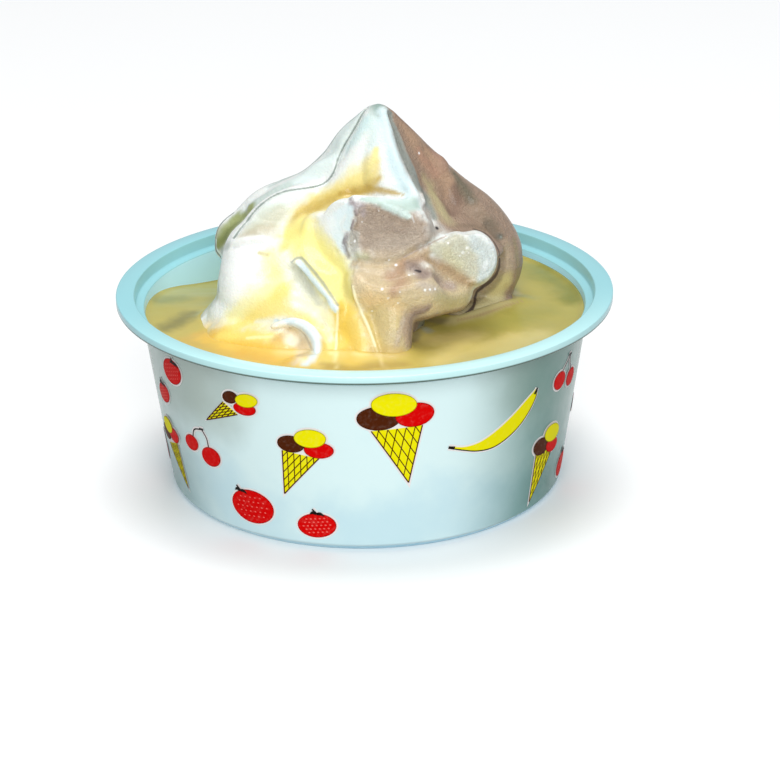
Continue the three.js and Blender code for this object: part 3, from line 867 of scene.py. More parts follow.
        ("cfcdc4", 0.8, 0.6, [(351, 243, 4), (352, 235, 4), (357, 234, 3), (354, 251, 4)], 0.2, 0.8),
        ("b9b98f", 0.7, 0.7, [(357, 255, 4), (366, 258, 4)], 0.3, 0.5),
        ("f2f2ee", 0.7, 0.5, [(376, 204, 0.7), (379, 211, 0.7)], 0.2, 0.6),
        ("f2f2ee", 0.7, 0.5, [(412, 216, 0.7), (414, 222, 0.7)], 0.2, 0.6),
        ("efeeea", 0.7, 0.5, [(356, 220, 0.9)], 0.2, 0.6),
        ("efeeea", 0.7, 0.5, [(362, 222, 0.9)], 0.2, 0.6),
        ("d0bb94", 0.9, 0.8, [(354, 264, 4.5), (375, 266, 5), (395, 265, 5), (408, 261, 4)], 0.35, 0.5),
        ("c6ab86", 0.9, 0.8, [(404, 262, 4), (416, 257, 5), (430, 250, 4)], 0.3, 0.5),
    ]),
    "tongue": (0.5, 0.4, [
        ("d7d6bf", 0.97, 0.35, [(440, 248, 9), (455, 249, 15), (470, 256, 18), (477, 264, 16)], 0.35, 0.6),
        ("d6e1e0", 0.9, 0.8, [(474, 240, 6), (486, 254, 9), (488, 268, 8), (482, 278, 5)], 0.4, 0.5),
        ("d8d2aa", 0.7, 0.9, [(446, 252, 6), (457, 265, 7)], 0.35, 0.6),
        # painted highlights: small glints on the tongue
        *dabs("fbfbf6", 0.85, 0.6, (463, 252.5, 1.7), (467, 248, 1.5)),
        *dabs("f8f8f2", 0.7, 0.6, (460, 255.5, 1.1), (468.5, 252.5, 1)),
        ("f2f6f5", 0.6, 0.8, [(484, 268, 2.2), (487, 262, 2.2)], 0.5, 0.3),
    ]),
    "under the tongue": (0.3, 0.55, [
        ("bea27c", 0.9, 0.8, [(426, 258, 4), (442, 268, 6), (456, 277, 6), (468, 284, 5)]),
        # painted shade: a darker line along the tongue's lower edge
        ("b0936f", 0.6, 0.8, [(424, 258, 2.4), (438, 265, 3), (452, 272, 3), (464, 280, 2.6)]),
    ]),
    "lower lump and leg": (0.4, 0.5, [
        ("decaa2", 0.97, 0.4, [(362, 284, 10), (378, 294, 18), (402, 296, 18), (428, 300, 14),
            (450, 300, 12), (462, 298, 10)]),
        ("efce94", 0.8, 0.9, [(372, 300, 10), (392, 306, 10)], 0.6, 0.45),
        ("dfc8a0", 0.7, 0.8, [(360, 276, 6), (372, 272, 6), (388, 274, 6)], 0.6, 0.45),
        ("bd997a", 0.85, 0.9, [(392, 276, 7), (403, 266, 6), (400, 284, 7), (393, 292, 5)]),
        ("ba9c80", 0.85, 0.9, [(411, 264, 4), (420, 261, 4.5)], 0.2, 0.7),
        ("b39f92", 0.9, 0.8, [(410, 266, 5), (424, 275, 7), (438, 282, 7), (452, 287, 4.5)], 0.35, 0.5),
        ("9a8980", 0.75, 0.9, [(414, 267, 3.4), (425, 274, 5), (437, 280, 4)], 0.35, 0.5),
        ("c9bcb0", 0.7, 0.9, [(420, 284, 4), (430, 288, 5), (442, 291, 4)], 0.5, 0.5),
        ("bdb085", 0.85, 0.8, [(440, 297, 7), (454, 302, 8), (466, 300, 6)], 0.85, 0.3),
        ("d6c28c", 0.95, 0.5, [(382, 320, 14), (386, 340, 14), (388, 362, 12)], 0.5, 0.35),
        ("e4ca7a", 0.8, 0.8, [(366, 318, 6), (372, 336, 6), (378, 354, 6)], 0.55, 0.2),
        # painted shade under the arch, down the leg's right side
        ("c0a893", 0.95, 0.7, [(428, 307, 4), (415, 311, 6), (408, 320, 7), (405, 332, 6),
            (407, 344, 4)], 0.4, 0.6),
        ("d2c29c", 0.9, 0.8, [(396, 338, 7), (399, 350, 7)], 0.4, 0.4),
        ("9c8884", 0.8, 0.8, [(427, 309, 3), (416, 314, 4), (411, 323, 4), (410, 334, 3),
            (411, 345, 2)], 0.4, 0.6),
        ("d8c6b0", 0.7, 0.6, [(404, 318, 2), (399, 334, 2.4), (396, 348, 2.4)], 0.7, 0.6),
        ("b0a07a", 0.9, 0.7, [(479, 294, 3), (476, 301, 3.4), (471, 307, 3.6), (463, 312, 3),
            (452, 314, 3)], 0.3, 0.45),
        # painted shade under the arch where it meets the sauce
        ("8b8c78", 0.9, 0.8, [(441, 317, 3), (430, 319, 4), (421, 325, 5), (417, 334, 5)], 0.3, 0.4),
    ]),
    # painted shade: dark lines in the creases, round the tongue and under the arch
    "painted shade in the creases": (0.4, 0.2, [
        ("4f4036", 0.97, 0.4, [(473, 228.8, 0.7), (482, 231.5, 1), (490, 237, 1.3), (496.5, 246, 1.4),
            (499.5, 259, 1.4), (498, 271, 1.4), (492, 280, 1.7), (484, 286, 1.9), (478, 291, 1.6)]),
        ("46352b", 0.97, 0.4, [(477, 292, 1.3), (475, 298, 1.3), (474, 306, 1.4), (468, 313, 1.9),
            (457, 317.5, 1.8), (450, 318.5, 1.5), (439, 316, 1.2), (429, 319, 1.1), (421, 327, 1.1),
            (416, 338, 1.1), (413, 347, 1)]),
        ("74837b", 0.9, 0.5, [(367, 106, 0.9), (361, 117, 0.9), (353, 131, 0.9), (344, 146, 0.9),
            (337, 161, 0.9), (333, 175, 0.9), (323, 184, 0.9), (309, 188, 0.9), (290, 190, 0.9),
            (277, 194, 1), (264, 202, 1), (252, 214, 1.1), (243, 226, 1.2), (234, 238, 1.3)], 0.4, 0.1),
        ("b4a193", 0.8, 0.5, [(404, 257, 0.8), (425, 246, 0.8), (446, 236, 0.8)]),
    ]),
    "dots": (0.3, 0.1, [
        ("1f1a1c", 1, 0.5, [(437, 228, 1.7)]),
        ("2a242a", 0.95, 0.5, [(415.5, 270.5, 1.1), (420, 271.5, 1.4)]),
    ]),
    "glints": (0.9, 0.1, [
        *dabs("ffffff", 1, 0.5, (382, 289, 1.3), (396, 265, 1.2), (425, 290, 1.1), (430, 289.5, 1.1),
            (435, 289, 1.1), (409, 275, 1.2), (355, 241, 1.2), (419, 153, 1.1), (389, 260, 0.9)),
        *dabs("ffffff", 0.8, 0.5, (414, 274, 0.9), (448, 243, 1.1), (400, 292, 0.9), (372, 311, 0.9),
            (388, 298, 0.9)),
        *dabs("ffffff", 0.7, 0.5, (398, 303, 0.9)),
    ]),
}
# The same on the sauce.
POOL_PAINT = {
    "right": (0.5, 0.1, [
        # painted shade: olive sauce on the right
        ("84832a", 0.95, 0.9, [(545, 268, 20), (566, 285, 18), (573, 300, 14)]),
        ("a39c46", 0.9, 0.9, [(520, 318, 20), (545, 310, 14), (500, 326, 12)]),
        # painted light: paler sauce in front of the leg and tongue, over the shade that they cast
        ("e0cc80", 0.9, 0.9, [(440, 340, 16), (470, 336, 14), (440, 362, 14), (480, 350, 14),
            (515, 338, 12)]),
        ("d0c27c", 0.9, 0.9, [(540, 335, 14), (500, 350, 16), (455, 366, 12)]),
        ("cfae54", 0.95, 0.8, [(190, 340, 12), (215, 352, 16), (250, 368, 16), (300, 378, 14),
            (345, 372, 12), (385, 372, 10)]),
        ("d9b14e", 0.8, 0.8, [(200, 334, 8), (225, 350, 9), (258, 362, 8)]),
        ("b0944a", 0.85, 0.9, [(330, 366, 8), (352, 368, 8), (378, 366, 9), (402, 364, 7)]),
        # painted shade: olive sauce at the left, by the wall
        ("7d7840", 0.9, 0.9, [(190, 314, 10), (178, 322, 11), (166, 328, 10)]),
        ("8e8d4c", 0.8, 0.9, [(160, 300, 14), (180, 298, 12)]),
        ("c9bc88", 0.95, 0.8, [(450, 322, 7), (470, 314, 9), (502, 302, 8), (515, 292, 6)]),
        ("b0936c", 0.8, 0.7, [(458, 320, 1.2), (474, 317, 1.6), (492, 311, 1.4), (508, 305, 1),
            (522, 301, 0.7)]),
        ("a9ac98", 0.95, 0.7, [(427, 330, 6)]),
        # painted shade on the sauce under the arch
        ("8c7f5c", 0.85, 0.8, [(412, 340, 6), (420, 322, 6), (440, 321, 6)]),
    ]),
}
# The same where the ice cream melts into the sauce, on both.
MELTED = {
    "golden front left": (0.5, 0.1, [
        ("e9be4e", 0.95, 0.7, [(205, 336, 9), (225, 342, 11), (250, 347, 11), (272, 352, 9),
            (292, 358, 7)]),
        ("ba9846", 0.8, 1, [(240, 366, 4), (262, 370, 5), (290, 374, 7), (325, 376, 8), (352, 376, 8)]),
        ("e0ad40", 0.7, 0.8, [(240, 354, 7), (262, 358, 8), (284, 364, 6)]),
        ("f3d970", 0.8, 0.8, [(220, 336, 5), (245, 335, 6), (268, 336, 6)]),
        # painted highlight: a thin bright streak on the golden sauce
        ("faeeb0", 0.7, 0.8, [(247, 338, 1.4), (262, 337, 1.8), (276, 337, 1.8)]),
    ]),
    "yellow groove": (0.5, 0.1, [
        ("ebc855", 0.95, 0.8, [(345, 312, 5), (346, 325, 8), (350, 340, 10)]),
        ("dcbb58", 0.9, 0.9, [(350, 352, 9), (352, 362, 9)]),
        ("e6c766", 0.7, 1, [(352, 322, 4), (358, 340, 6), (362, 354, 6)]),
        ("e6cf74", 0.85, 0.9, [(324, 345, 5), (326, 358, 6)]),
        ("cdb068", 0.85, 1, [(376, 352, 6), (390, 354, 7), (402, 354, 5)]),
    ]),
    "crescent": (0.5, 0.1, [
        ("ecc26a", 0.85, 0.9, [(280, 341, 7), (286, 352, 8)]),
        ("d8c199", 0.97, 0.8, [(284, 328, 2), (290, 329.5, 3.4), (297, 334.5, 5), (302, 345, 5.6),
            (301, 356, 5.4), (295, 363, 3.6)]),
        ("dfe2d2", 0.7, 1, [(256, 322, 2), (268, 321, 3), (280, 321, 3.4)]),
        ("cfdcdf", 0.97, 0.6, [(276, 320.5, 2), (284, 320, 2.8), (294, 322, 3.4), (306, 328.5, 4),
            (315, 339, 4.2), (316, 350, 4.2), (312, 359, 4), (304, 365, 2.6)]),
        ("eef6f6", 0.6, 0.8, [(296, 322.5, 1.4), (308, 329, 1.8), (316.5, 340, 2), (317, 350, 2),
            (312, 360, 1.6)]),
        # painted shade along the crescent's inside edge
        ("a9a29c", 0.5, 0.8, [(288, 324.5, 1), (301, 331.5, 1.2), (309, 342, 1.3), (310, 351, 1.2)]),
        # painted highlight in the bowl inside the crescent
        ("fff8e0", 0.97, 0.8, [(290, 340, 6), (295, 341, 5)]),
    ]),
    "light lines": (0.5, 0.1, [
        ("fbf7d0", 0.8, 0.6, [(338, 311, 1.2), (337, 335, 1.1), (336, 350, 1.1)]),
        ("f8ecb4", 0.45, 0.8, [(336, 351, 1.6), (336, 368, 1.4)]),
        ("fbf3cc", 0.8, 0.6, [(353, 286, 1.1), (356, 300, 1.3), (364, 317, 1.4), (371, 333, 1.4),
            (375, 346, 1.3)]),
        ("f4e4b0", 0.35, 0.8, [(376, 348, 1.7), (381, 360, 1.8), (386, 370, 1.5)]),
    ]),
}


class Front:
    """The front of a surface, where places are found along the line of sight."""

    SEARCH = (0, 1.5, 3, 4.5, 6, 8, 10, 12, 16)  # how far round a place that is missed, in points

    def __init__(self, *pieces):
        places = []
        faces = []
        for bm in pieces:
            first = len(places)
            bm.verts.index_update()
            places += [vert.co.copy() for vert in bm.verts]
            faces += [[first + vert.index for vert in face.verts] for face in bm.faces]
        self.tree = BVHTree.FromPolygons(places, faces)

    def at(self, across, down):
        """The place that is seen at a point of the frame, or the nearest one to it."""
        for reach in self.SEARCH:
            for turn in range(8 if reach else 1):
                x = across + reach * math.cos(turn * math.pi / 4)
                y = down + reach * math.sin(turn * math.pi / 4)
                ray = LOOK @ Vector((x - FRAME / 2, FRAME / 2 - y, -FRAME * LENS / SENSOR))
                hit = self.tree.ray_cast(EYE, ray)[0]
                if hit is not None:
                    return np.array(hit)
        raise ValueError(f"nothing is seen at {across}, {down}")

    def runs(self, stops, close):
        """Lines of x, y, z and width through the stops; a close one bends with the surface."""
        if not close or len(stops) < 2:
            return [[(*self.at(x, y), width) for x, y, width in stops]]
        line = np.array(stops, float)
        if len(line) > 2:
            line = smooth_curve(line, 4)
        steps = [line[0]]
        for one, other in zip(line, line[1:]):
            count = max(1, math.ceil(np.hypot(*(other - one)[:2]) / LINE_STEP))
            steps += [one + (other - one) * k / count for k in range(1, count + 1)]
        made = [[]]
        for x, y, width in steps:
            place = self.at(x, y)
            if made[-1] and np.linalg.norm(place - made[-1][-1][:3]) > GAP:
                made.append([])
            made[-1].append((*place, width))
        return [self.eased(run) for run in made if len(run) > 1]

    def eased(self, run, rounds=4):
        """The same line without its jitter, still on the surface."""
        run = np.array(run)
        for _ in range(rounds):
            run[1:-1, :3] = (run[:-2, :3] + 2 * run[1:-1, :3] + run[2:, :3]) / 4
            for row in run[1:-1]:
                row[:3] = self.tree.find_nearest(Vector(row[:3]))[0]
        return run


def creases_on(bm):
    """Height and line of each crease on a surface."""
    front = Front(bm)
    return [
        (height, run)
        for lines in CREASES.values() for height, width, places in lines
        for run in front.runs([(*place, width) for place in places], width < LINE)
    ]


def strokes_on(front, paint):
    """Colour, strength, softness, wetness, roughness and line of each brush stroke on a surface."""
    made = []
    for wet, rough, strokes in paint.values():
        for code, strength, soft, stops, *own in strokes:
            for run in front.runs(stops, stops[0][2] < THIN):
                line = [(x, y, z, radius / PER_MM) for x, y, z, radius in run]
                made.append((code, strength, soft, *(own or (wet, rough)), line))
    return made


def flatten(bm):
    """Cuts the lumps back to broken facets where the rope has torn."""
    front = Front(bm)
    at = positions(bm)
    for place, depth, normal, reach in FACETS:
        normal = np.array(normal) / np.linalg.norm(normal)
        centre = front.at(*place) - normal * depth
        proud = np.maximum((at - centre) @ normal, 0)
        near = 1 - ease(reach * FACET_FULL, reach, np.linalg.norm(at - centre, axis=1))
        at -= normal * (proud * near)[:, None]
    put(bm, at)


def refine(bm, creases):
    """Splits the faces along the finest lines, so that these stay crisp."""
    strokes = strokes_on(Front(bm), {**PAINT, **MELTED})
    lines = [stops for _, stops in creases] + [stroke[-1] for stroke in strokes]
    fine = [stops for stops in lines if stops[0][3] < FINE]
    at = positions(bm)
    near = np.full(len(at), False)
    for stops in fine:
        near |= distance_to(at, stops)[0] < FINE * 2
    bm.verts.ensure_lookup_table()
    chosen = {bm.verts[i] for i in np.flatnonzero(near)}
    edges = [edge for edge in bm.edges if edge.verts[0] in chosen and edge.verts[1] in chosen]
    bmesh.ops.subdivide_edges(bm, edges=edges, cuts=1, use_grid_fill=True)


def carve(bm, creases):
    """Presses creases into the skin and raises ridges on it along short lines."""
    bm.normal_update()
    at = positions(bm)
    normals = np.array([vert.normal for vert in bm.verts])
    for height, stops in creases:
        away, width = distance_to(at, stops)
        at += normals * (height * bell(away, np.maximum(width, TINY)))[:, None]
    put(bm, at)


VANILLA = ink("f4f8f4")
CHOCOLATE = ink("a98f7a")
BARE_WET = 0.45
BARE_ROUGH = (0.25, 0.4)  # roughness of bare vanilla, and how much rougher chocolate is
# The sauce's colours: olive in painted shade, and yellow in painted light round the side where it climbs
# the ice cream.
SAUCE_SHADED = ink("b1a64f")
SAUCE_SUNNY = ink("e2c66c")
RAGGED = ((0.55, 1), (1.3, 0.5))  # coarse and fine fraying of a stroke: per millimetre, and share
FRAY = 0.35  # how far a stroke frays, as a share of its radius
FRAY_MOST = 0.9


def mix(one, other, share):
    """One value, gone over to the other by a share."""
    return one * (1 - share) + other * share


EDGE_TOP = 84  # a height near the tip
EDGE_AT = 3.9  # x of the edge between vanilla and chocolate at that height, in front
EDGE_SLOPE = 0.55  # how fast it moves to the right further down
EDGE_Y = (40, -5)  # y between which it moves from the middle, behind, to its place in front
EDGE_COILS = 4.5  # how far the coils behind shift it
COILS_Y = (2, 10)  # y between which they begin to
EDGE_WIDTH = 1.2
RIGHT_Y = (-14, -9)  # y between which the chocolate of the right side begins
UNDER_X = (-1, 3)  # x, y and height between which the underside of the lumps turns chocolate
UNDER_Y = (6, 0)
UNDER_Z = (50, 46)


def chocolate_share(at):
    """How far the rope itself is chocolate: on the right, in coils behind, and under the lumps."""
    x, y, z = at.T
    phase = rope_phase(polar(at)[1], z)
    edge = (EDGE_AT + (EDGE_TOP - z) * EDGE_SLOPE) * ease(*EDGE_Y, y)
    edge += EDGE_COILS * np.sin(2 * math.pi * phase) * ease(*COILS_Y, y)
    right = ease(-EDGE_WIDTH, EDGE_WIDTH, x - edge) * ease(*RIGHT_Y, y)
    under = ease(*UNDER_X, x) * ease(*UNDER_Z, z) * ease(*UNDER_Y, y)
    return np.maximum(right, under)[:, None]


def brushed(at, colour, touch, strokes):
    """Colours and touches, wetness and roughness, at places after a list of brush strokes."""
    ragged = np.array([
        sum(share * noise.noise(Vector(row) * dense) for dense, share in RAGGED) for row in at
    ])
    for code, strength, soft, wet, rough, stops in strokes:
        away, width = distance_to(at, stops)
        away = away + ragged * np.minimum(width * FRAY, FRAY_MOST)
        weight = strength * (1 - ease(1 - soft, 1 + soft, away / np.maximum(width, TINY)))
        weight = weight[:, None]
        colour = mix(colour, np.array(ink(code)), weight)
        touch[:, :2] = mix(touch[:, :2], np.array([wet, rough]), weight)
    return colour, touch


def attribute(bm, name, rows):
    """Gives each vertex of the bmesh three values of its own under a name."""
    layer = bm.verts.layers.float_color.new(name)
    for vert, row in zip(bm.verts, rows):
        vert[layer] = (*row, 1)


def painted(ice, pool):
    """Gives the ice cream its colour, wetness and roughness, and the sauce its colour."""
    melted = strokes_on(Front(ice, pool), MELTED)
    at = positions(ice)
    share = chocolate_share(at)
    colour = mix(np.array(VANILLA), np.array(CHOCOLATE), share)
    roughness = BARE_ROUGH[0] + BARE_ROUGH[1] * share
    touch = np.column_stack([np.full(len(at), BARE_WET), roughness, np.zeros(len(at))])
    colour, touch = brushed(at, colour, touch, strokes_on(Front(ice), PAINT) + melted)
    attribute(ice, "paint", colour)
    attribute(ice, "touch", touch)
    at = positions(pool)
    # the sauce yellow in painted light round the drape, olive in painted shade elsewhere
    sunny = bell(angle_between(polar(at)[1], DRAPE_ANGLE), SUNNY_SPREAD)[:, None]
    colour = mix(np.array(SAUCE_SHADED), np.array(SAUCE_SUNNY), sunny)
    strokes = strokes_on(Front(pool), POOL_PAINT) + melted
    attribute(pool, "paint", brushed(at, colour, np.zeros_like(colour), strokes)[0])


def smooth(bm, rounds):
    """Draws each vertex halfway to its neighbours, a few times."""
    for _ in range(rounds):
        bmesh.ops.smooth_vert(
            bm, verts=bm.verts, factor=0.5, use_axis_x=True, use_axis_y=True, use_axis_z=True
        )


def ice_cream():
    """The whole twist as one melted skin, carved and ready for its paint."""
    shells = [core(), roll(APRON, APRON_FLAT, sides=40), roll(crescent_stops(**CRESCENT))]
    shells += [roll(stops) for stops in [*FOLDS.values(), *FILLS]]
    skin = skin_over(shells, GRAIN)
    plain_foot(skin)
    smooth(skin, SMOOTH_BEFORE)
    flatten(skin)
    smooth(skin, SMOOTH_AFTER)
    creases = creases_on(skin)
    refine(skin, creases)
    carve(skin, creases)
    return skin


# ---- sauce ----
def sauce_dip(at):
    """How far the sauce's surface lies below its level at rows of x, y."""
    radius, angle = polar(at)
    return SAUCE_DIP * bell(angle_between(angle, DIP_ANGLE), DIP_SPREAD) * ease(*DIP_EDGE, radius)


def sauce(ice):
    """The pool, with its hollow, drawn up a little where it meets the ice cream and the wall."""
    start, width, count = WALL_RINGS
    near_wall = start + width * (1 - (1 - np.linspace(0, 1, count)) ** 2)
    rings = np.concatenate([np.linspace(*SAUCE_RINGS), near_wall])
    rings = rings[rings < wall_inside(SAUCE_LEVEL) - RING_GAP]
    bm = turned([
        (0, FLOOR),
        (wall_inside(SKIN) - BASE_ROUND, FLOOR),
        (wall_inside(BASE_ROUND + SKIN), BASE_ROUND + FLOOR),
        (wall_inside(SAUCE_LEVEL / 2) + SAUCE_CLOSE, SAUCE_LEVEL / 2),
        (wall_inside(SAUCE_LEVEL) + SAUCE_CLOSE, SAUCE_LEVEL),
        *[(radius, SAUCE_LEVEL) for radius in rings[::-1]],
        (0, SAUCE_LEVEL),
    ], SAUCE_STEPS)
    at = positions(bm)
    top = at[:, 2] > SAUCE_LEVEL - SURFACE
    radius, angle = polar(at)
    height = np.where(top, at[:, 2] - sauce_dip(at), at[:, 2])
    tree = BVHTree.FromBMesh(ice)
    drape = bell(angle_between(angle, DRAPE_ANGLE), DRAPE_SPREAD)
    rise = SHORE[0] + SHORE_DRAPED[0] * drape
    reach = SHORE[1] + SHORE_DRAPED[1] * drape
    for i in np.flatnonzero(top & (radius > SAUCE_RINGS[0] - 1)):
        spot = Vector((at[i, 0], at[i, 1], height[i] + SHORE_ABOVE))
        away = tree.find_nearest(spot, SHORE_SEARCH)[3]
        if away is not None:
            height[i] += rise[i] * math.exp(-away / reach[i])
    height += np.where(top, WALL_SHORE[0] * bell(wall_inside(SAUCE_LEVEL) - radius, WALL_SHORE[1]), 0)
    swell = np.array([noise.noise(Vector((x, y, 0)) * SWELL[1]) for x, y, _ in at])
    height += np.where(top, SWELL[0] * swell * ease(*SWELL_EDGE, radius), 0)
    inward = np.where(top, np.minimum(1, (wall_inside(height) + SAUCE_CLOSE) / np.maximum(radius, 1)), 1)
    put(bm, np.column_stack([at[:, 0] * inward, at[:, 1] * inward, height]))
    return bm


# ---- tub ----
def tub():
    """The thin wall with its base, the ledge for a lid, the step and the turned-down lip."""
    under = RIM_TOP - SKIN
    bm = turned([
        (0, 0),
        (BASE_R - BASE_ROUND, 0),
        (BASE_R, BASE_ROUND),
        (LEDGE_R + SKIN, WALL_TOP),
        (FLANGE_R + SKIN, WALL_TOP),
        (FLANGE_R + SKIN, under),
        (RIM_R - SKIN, under),
        (RIM_R - SKIN, LIP_UNDER),
        (RIM_R, LIP_UNDER),
        (RIM_R, RIM_TOP),
        (FLANGE_R, RIM_TOP),
        (FLANGE_R - STEP_LEAN, LEDGE_TOP),
        (LEDGE_R, LEDGE_TOP - LEDGE_SLOPE),
        (wall_inside(BASE_ROUND + SKIN), BASE_ROUND + SKIN),
        (wall_inside(SKIN) - BASE_ROUND, SKIN),
        (0, SKIN),
    ], TUB_STEPS)
    rings = []
    for edge in bm.edges:
        (radius, height), (other_radius, other_height) = ((v.co.xy.length, v.co.z) for v in edge.verts)
        if abs(height - other_height) < LEVEL and abs(radius - other_radius) < LEVEL and radius > 1:
            rings.append(edge)
    bmesh.ops.bevel(
        bm, geom=rings, offset=EDGE_ROUND, segments=3, profile=0.5, affect="EDGES",
        clamp_overlap=True, material=-1,
    )
    return bm


# ---- print ----
HALO = ink("f3efed")
YELLOW = ink("f5ec00")
RED = ink("dc0000")
BROWN = ink("4c1e04")
BLACK = ink("140f0d")
PALE = ink("f4645c")
HALO_WIDTH = 0.4
RIND = 0.14  # width of the darker line round an oval
RIND_SHADE = 0.45
LIFT = 0.04  # how far each further layer of ink stands off the wall
PAIR = ((-3.2, -5.6, 5.4, 4.2, 10), (3, -6.4, 5.8, 4.6, -10))  # a pair of cherries
PIP = (0.5, 0.36)  # width and height of a pip
PIP_STEP = (0.115, 0.14)  # spacing of the pips, as shares of the berry's width and height
PIP_REACH = 0.42  # how far out pips stand, as the same kind of share
LEAVES = ((-1.5, -0.2), (1.7, -0.5))  # from the head of a strawberry to the tip of each leaf
LEAF_BOW = 0.35
LEAF_WIDTHS = (0.6, 0.75, 0.08)
STALK = ((0, 0, 0.5), (-0.3, 0.5, 0.34), (-0.9, 1.1, 0.4))  # its stalk, as x, y and width
CHERRY_BOWS = (0.9, -0.5)  # how far the stalks of a pair of cherries bow to a side
CHERRY_ROOT = (0.82, 0.4)  # where a stalk meets its cherry: share of the way across and of its height
CHERRY_STALK = (0.3, 0.3, 0.34)  # widths of a stalk
CHERRY_KNOT = ((-0.8, 0.05, 0.3), (0.6, 0.1, 0.5))  # the piece of twig where the stalks meet
LATTICE = (0.14, 0.86, 5)  # where a cone's lines start and end on its edges, and how many there are
CONE_HALO = 0.16  # how much wider than the cone its halo is
CONE_EDGE = 1.3  # how much thicker than the lattice the lines along the cone's edges are
BANANA_SHADE = 0.26  # width of the dark line under a banana
BANANA_INSET = 0.1  # how far inside its edge that line lies
BANANA_END = (1.1, 0.75)  # how far a dark end reaches into the banana, and its width there
BANANA_TIP = (0.4, 0.6)  # how far it reaches past the banana, and its width there


class Print:
    """Flat figures in ink, laid round the tub's wall in thin layers."""

    def __init__(self):
        self.bm = bmesh.new()
        self.layer = self.bm.verts.layers.float_color.new("ink")

    def lay(self, verts, spot, colour, layer):
        """Bends flat verts, x to the right and y up, on to the wall round a spot."""
        turn, height = spot
        for vert in verts:
            rise = height + vert.co.y
            angle = math.radians(turn) + vert.co.x / wall_outside(height)
            out = wall_outside(rise) + LIFT * (layer + 1)
            vert.co = (out * math.cos(angle), out * math.sin(angle), rise)
            vert[self.layer] = (*colour, 1)

    def disc(self, spot, shape, grow, colour, layer, cuts=8):
        """An oval of x, y, width, height and lean, grown by a border."""
        x, y, wide, high, lean = shape
        turn = Matrix.Rotation(math.radians(lean), 2)
        made = bmesh.ops.create_grid(self.bm, x_segments=cuts, y_segments=cuts, size=1)["verts"]
        for vert in made:
            flat = Vector((
                vert.co.x * math.sqrt(1 - vert.co.y**2 / 2) * (wide / 2 + grow),
                vert.co.y * math.sqrt(1 - vert.co.x**2 / 2) * (high / 2 + grow),
            ))
            flat = turn @ flat
            vert.co = (x + flat.x, y + flat.y, 0)
        self.lay(made, spot, colour, layer)

    def oval(self, spot, shape, colour, layer):
        """An oval with its halo and a darker line round it."""
        self.disc(spot, shape, HALO_WIDTH, HALO, 0)
        self.disc(spot, shape, 0, tuple(share * RIND_SHADE for share in colour), layer)
        self.disc(spot, shape, -RIND, colour, layer + 0.5)

    def ribbon(self, spot, stops, colour, layer, halo=True):
        """A line with a width along stops of x, y and width, and round it its halo."""
        line = smooth_curve(stops, 6) if len(stops) > 2 else np.linspace(stops[0], stops[1], 7)
        steps = len(line)
        step = np.gradient(line[:, :2], axis=0)
        side = np.column_stack([-step[:, 1], step[:, 0]]) / np.linalg.norm(step, axis=1)[:, None]
        layers = ((HALO_WIDTH, HALO, 0), (0, colour, layer)) if halo else ((0, colour, layer),)
        for grow, shade, depth in layers:
            made = bmesh.ops.create_grid(self.bm, x_segments=steps - 1, y_segments=1, size=1)["verts"]
            for vert in made:
                row = round((vert.co.x + 1) / 2 * (steps - 1))
                half = line[row, 2] / 2 + grow
                vert.co = (*(line[row, :2] + side[row] * half * vert.co.y), 0)
            self.lay(made, spot, shade, depth)

    def wedge(self, spot, left, right, tip, colour, layer, grow=0.0):
        """A triangle that hangs from its top edge to its tip."""
        left, right, tip = (np.asarray(corner, float) for corner in (left, right, tip))
        middle = (left + right + tip) / 3
        left, right, tip = (c + (c - middle) * grow for c in (left, right, tip))
        made = bmesh.ops.create_grid(self.bm, x_segments=4, y_segments=6, size=1)["verts"]
        for vert in made:
            across, down = (vert.co.x + 1) / 2, (1 - vert.co.y) / 2
            top = left + (right - left) * across
            vert.co = (*(top + (tip - top) * down), 0)
        self.lay(made, spot, colour, layer)

    def cone(self, spot, left, right, brown, yellow, red, line=0.2):
        """A wafer cone that stands on a spot, with its lattice and three scoops."""
        tip = (0, 0)
        self.wedge(spot, left, right, tip, HALO, 0, CONE_HALO)
        self.wedge(spot, left, right, tip, YELLOW, 2)
        left, right, tip = (np.asarray(corner, float) for corner in (left, right, tip))
        for share in np.linspace(*LATTICE):
            top = left + (right - left) * share
            for end in (tip + (right - tip) * share, left + (tip - left) * share):
                self.ribbon(spot, [(*top, line), (*end, line)], BROWN, 3, False)
        for corner in (left, right):
            edge = [(*corner, line * CONE_EDGE), (*tip, line * CONE_EDGE)]
            self.ribbon(spot, edge, BROWN, 3, False)
        for shape, colour, layer in ((brown, BROWN, 4), (red, RED, 5), (yellow, YELLOW, 6)):
            self.oval(spot, shape, colour, layer)

    def berry(self, spot, shape, head):
        """A strawberry with its pips and, at its head, the stalk and two leaves."""
        wide, high, lean = shape
        self.oval(spot, (0, 0, *shape), RED, 2)
        turn = Matrix.Rotation(math.radians(lean), 2)
        for row in range(-3, 4):
            for column in range(-4, 5):
                share = Vector(((column + row % 2 / 2) * PIP_STEP[0], row * PIP_STEP[1]))
                if share.length < PIP_REACH:
                    pip = turn @ Vector((share.x * wide, share.y * high))
                    self.disc(spot, (pip.x, pip.y, *PIP, 0), 0, PALE, 3, 2)
        x, y = head
        start, half, end = LEAF_WIDTHS
        for right, up in LEAVES:
            tip = (x + right, y + up)
            middle = ((x + tip[0]) / 2, (y + tip[1]) / 2 + LEAF_BOW)
            self.ribbon(spot, [(x, y, start), (*middle, half), (*tip, end)], BLACK, 4, False)
        self.ribbon(spot, [(x + right, y + up, width) for right, up, width in STALK], BLACK, 4)

